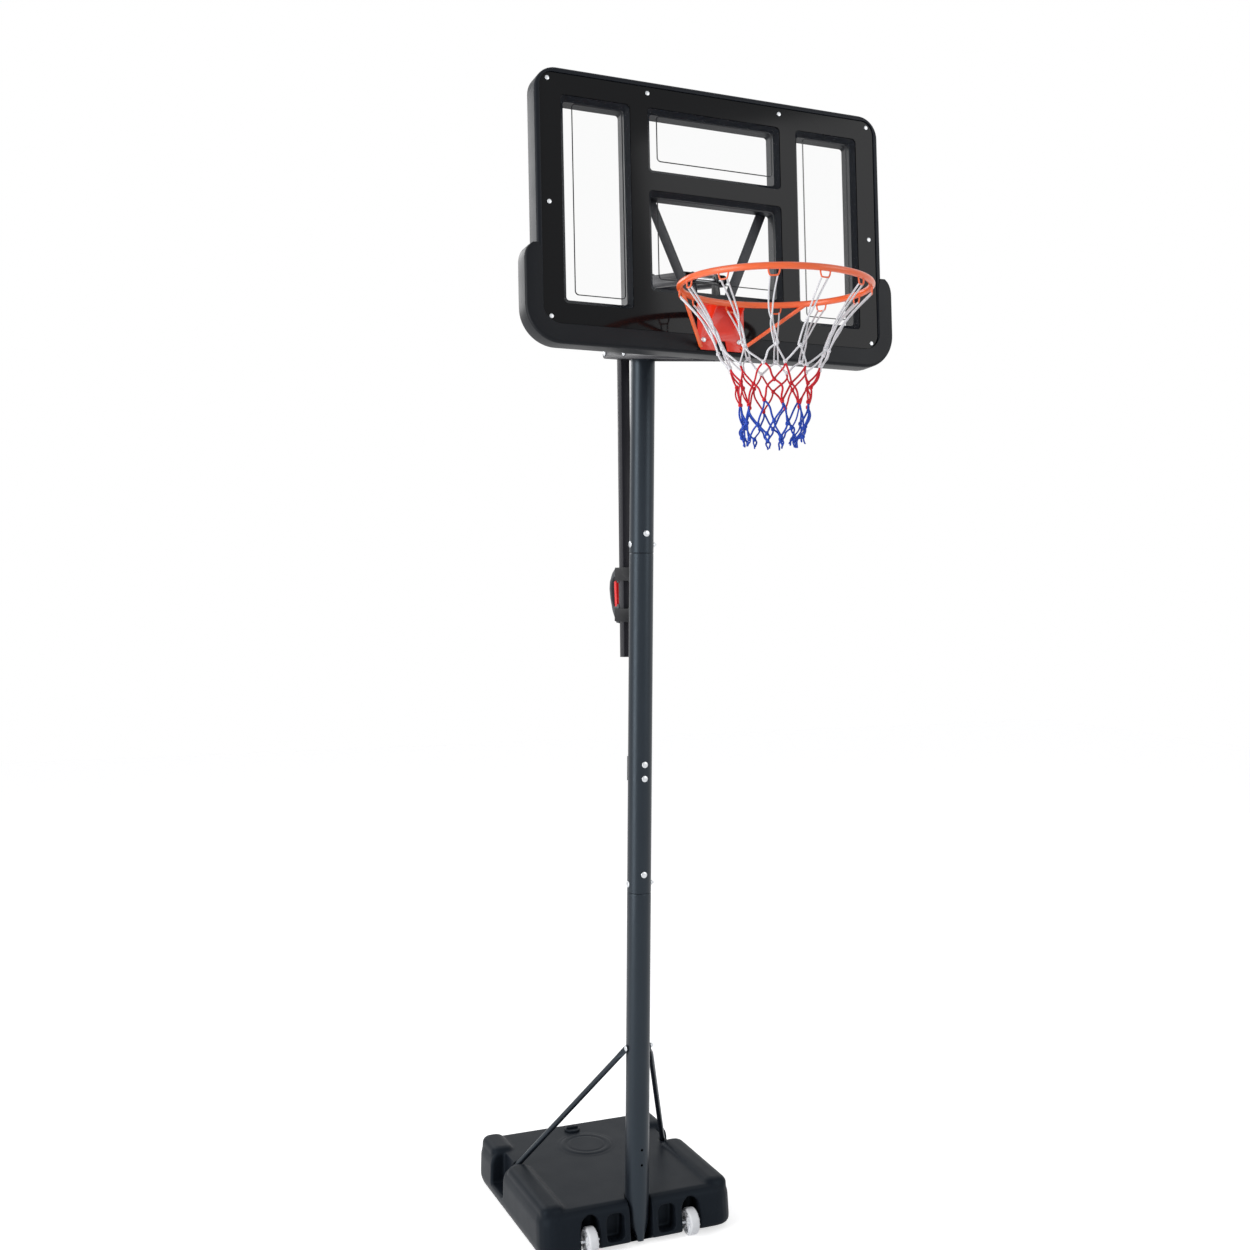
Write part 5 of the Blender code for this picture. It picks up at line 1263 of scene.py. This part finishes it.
for side in ("left", "right"):
    bevelled(f"lower_arm_{side}", "lower_arms", ARM_FINISH)
    bevelled(f"upper_arm_{side}", "upper_arms", ARM_FINISH)
    bevelled(f"board_stay_{side}", "board", STAY_FINISH)
bevelled("lift_strut", "strut", ARM_FINISH)
bevelled("board_bracket", "board", ARM_FINISH, PLATE_EDGE)
bevelled("rim_bracket", "board", RIM_PLATE_FINISH, PLATE_EDGE)
bevelled("handle_bracket", "stand", HANDLE_FINISH, PLATE_EDGE)
bevelled("stowage_bracket", "stand", POLE_FINISH, PLATE_EDGE)
bevelled("handle_grip", "stand", GRIP_FINISH)
bevelled("trigger", "trigger", TRIGGER_FINISH)
for node in ("trigger_pin", "latch_pin"):
    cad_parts[node].data.materials.clear()
    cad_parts[node].data.materials.append(ZINC_FINISH)

# %% [markdown]
# ## Floor and light
# The photograph is a cut-out on white. A pale floor takes the soft shadow under the base, and
# reads as white where the camera looks past the object. Three large soft lamps light it: a key
# from the left front, a fill from the right and a high one behind that edges the pole.


# %% Floor
FLOOR_LIFT = 0.62
FLOOR_HALF = 12


def seen_directly(made):
    """1 for a ray from the camera, off a glossy surface or through clear plastic, else 0."""
    camera_ray = made.node("ShaderNodeLightPath", output="Is Camera Ray")
    glossy = made.node("ShaderNodeLightPath", output="Is Glossy Ray")
    through = made.node("ShaderNodeLightPath", output="Is Transmission Ray")
    return camera_ray.high(glossy).high(through)


def floor_finish():
    """White where the camera, a reflection or a clear sheet looks; a plain pale floor for shadows."""
    made = Finish("floor_pale", (0.86, 0.86, 0.87), 0.9)
    made.set("Emission Color", made.blend(seen_directly(made), (0.0, 0.0, 0.0), (1.0, 1.0, 1.0)))
    made.set("Emission Strength", FLOOR_LIFT)
    return made.material


def add_floor():
    mesh = bpy.data.meshes.new("floor")
    corners = [(x * FLOOR_HALF, y * FLOOR_HALF, 0) for x, y in ((-1, -1), (1, -1), (1, 1), (-1, 1))]
    mesh.from_pydata(corners, [], [(0, 1, 2, 3)])
    floor = bpy.data.objects.new("floor", mesh)
    bpy.context.scene.collection.objects.link(floor)
    mesh.materials.append(floor_finish())


add_floor()
print("floor added")


# %% World and lamps
WORLD_LAMP = 0.38


def add_world():
    """White to the camera, to reflections and through clear sheet; soft grey as a lamp."""
    world = bpy.data.worlds.new("studio")
    world.use_nodes = True
    bpy.context.scene.world = world
    tree = world.node_tree
    background = tree.nodes["Background"]
    paths = tree.nodes.new("ShaderNodeLightPath")
    either, seen = (tree.nodes.new("ShaderNodeMath") for _ in range(2))
    either.operation = seen.operation = "MAXIMUM"
    tree.links.new(paths.outputs["Is Camera Ray"], either.inputs[0])
    tree.links.new(paths.outputs["Is Transmission Ray"], either.inputs[1])
    tree.links.new(either.outputs[0], seen.inputs[0])
    tree.links.new(paths.outputs["Is Glossy Ray"], seen.inputs[1])
    strength = tree.nodes.new("ShaderNodeMapRange")
    strength.inputs["To Min"].default_value = WORLD_LAMP
    strength.inputs["To Max"].default_value = 1.0
    tree.links.new(seen.outputs[0], strength.inputs["Value"])
    tree.links.new(strength.outputs[0], background.inputs["Strength"])
    background.inputs["Color"].default_value = (1.0, 1.0, 1.0, 1.0)


def lamp(name, place, target, size, power):
    data = bpy.data.lights.new(name, "AREA")
    data.shape = "RECTANGLE"
    data.size, data.size_y = size
    data.energy = power
    made = bpy.data.objects.new(name, data)
    bpy.context.scene.collection.objects.link(made)
    matrix = np.eye(4)
    matrix[:3, :3] = facing(np.subtract(place, target))
    matrix[:3, 3] = place
    made.matrix_world = matrix.T.tolist()


add_world()
lamp("key", (-4.9, -1.3, 2.4), (0, -0.3, 1.6), (2.6, 5.0), 195.0)
lamp("fill", (3.0, -4.5, 3.5), (0, -0.3, 1.6), (2.5, 3.5), 60.0)
lamp("rear", (-1.5, 4.0, 4.0), (0, -0.3, 1.8), (3.0, 2.0), 60.0)
bpy.context.scene.view_settings.view_transform = "Standard"
print("world and three lamps ready")
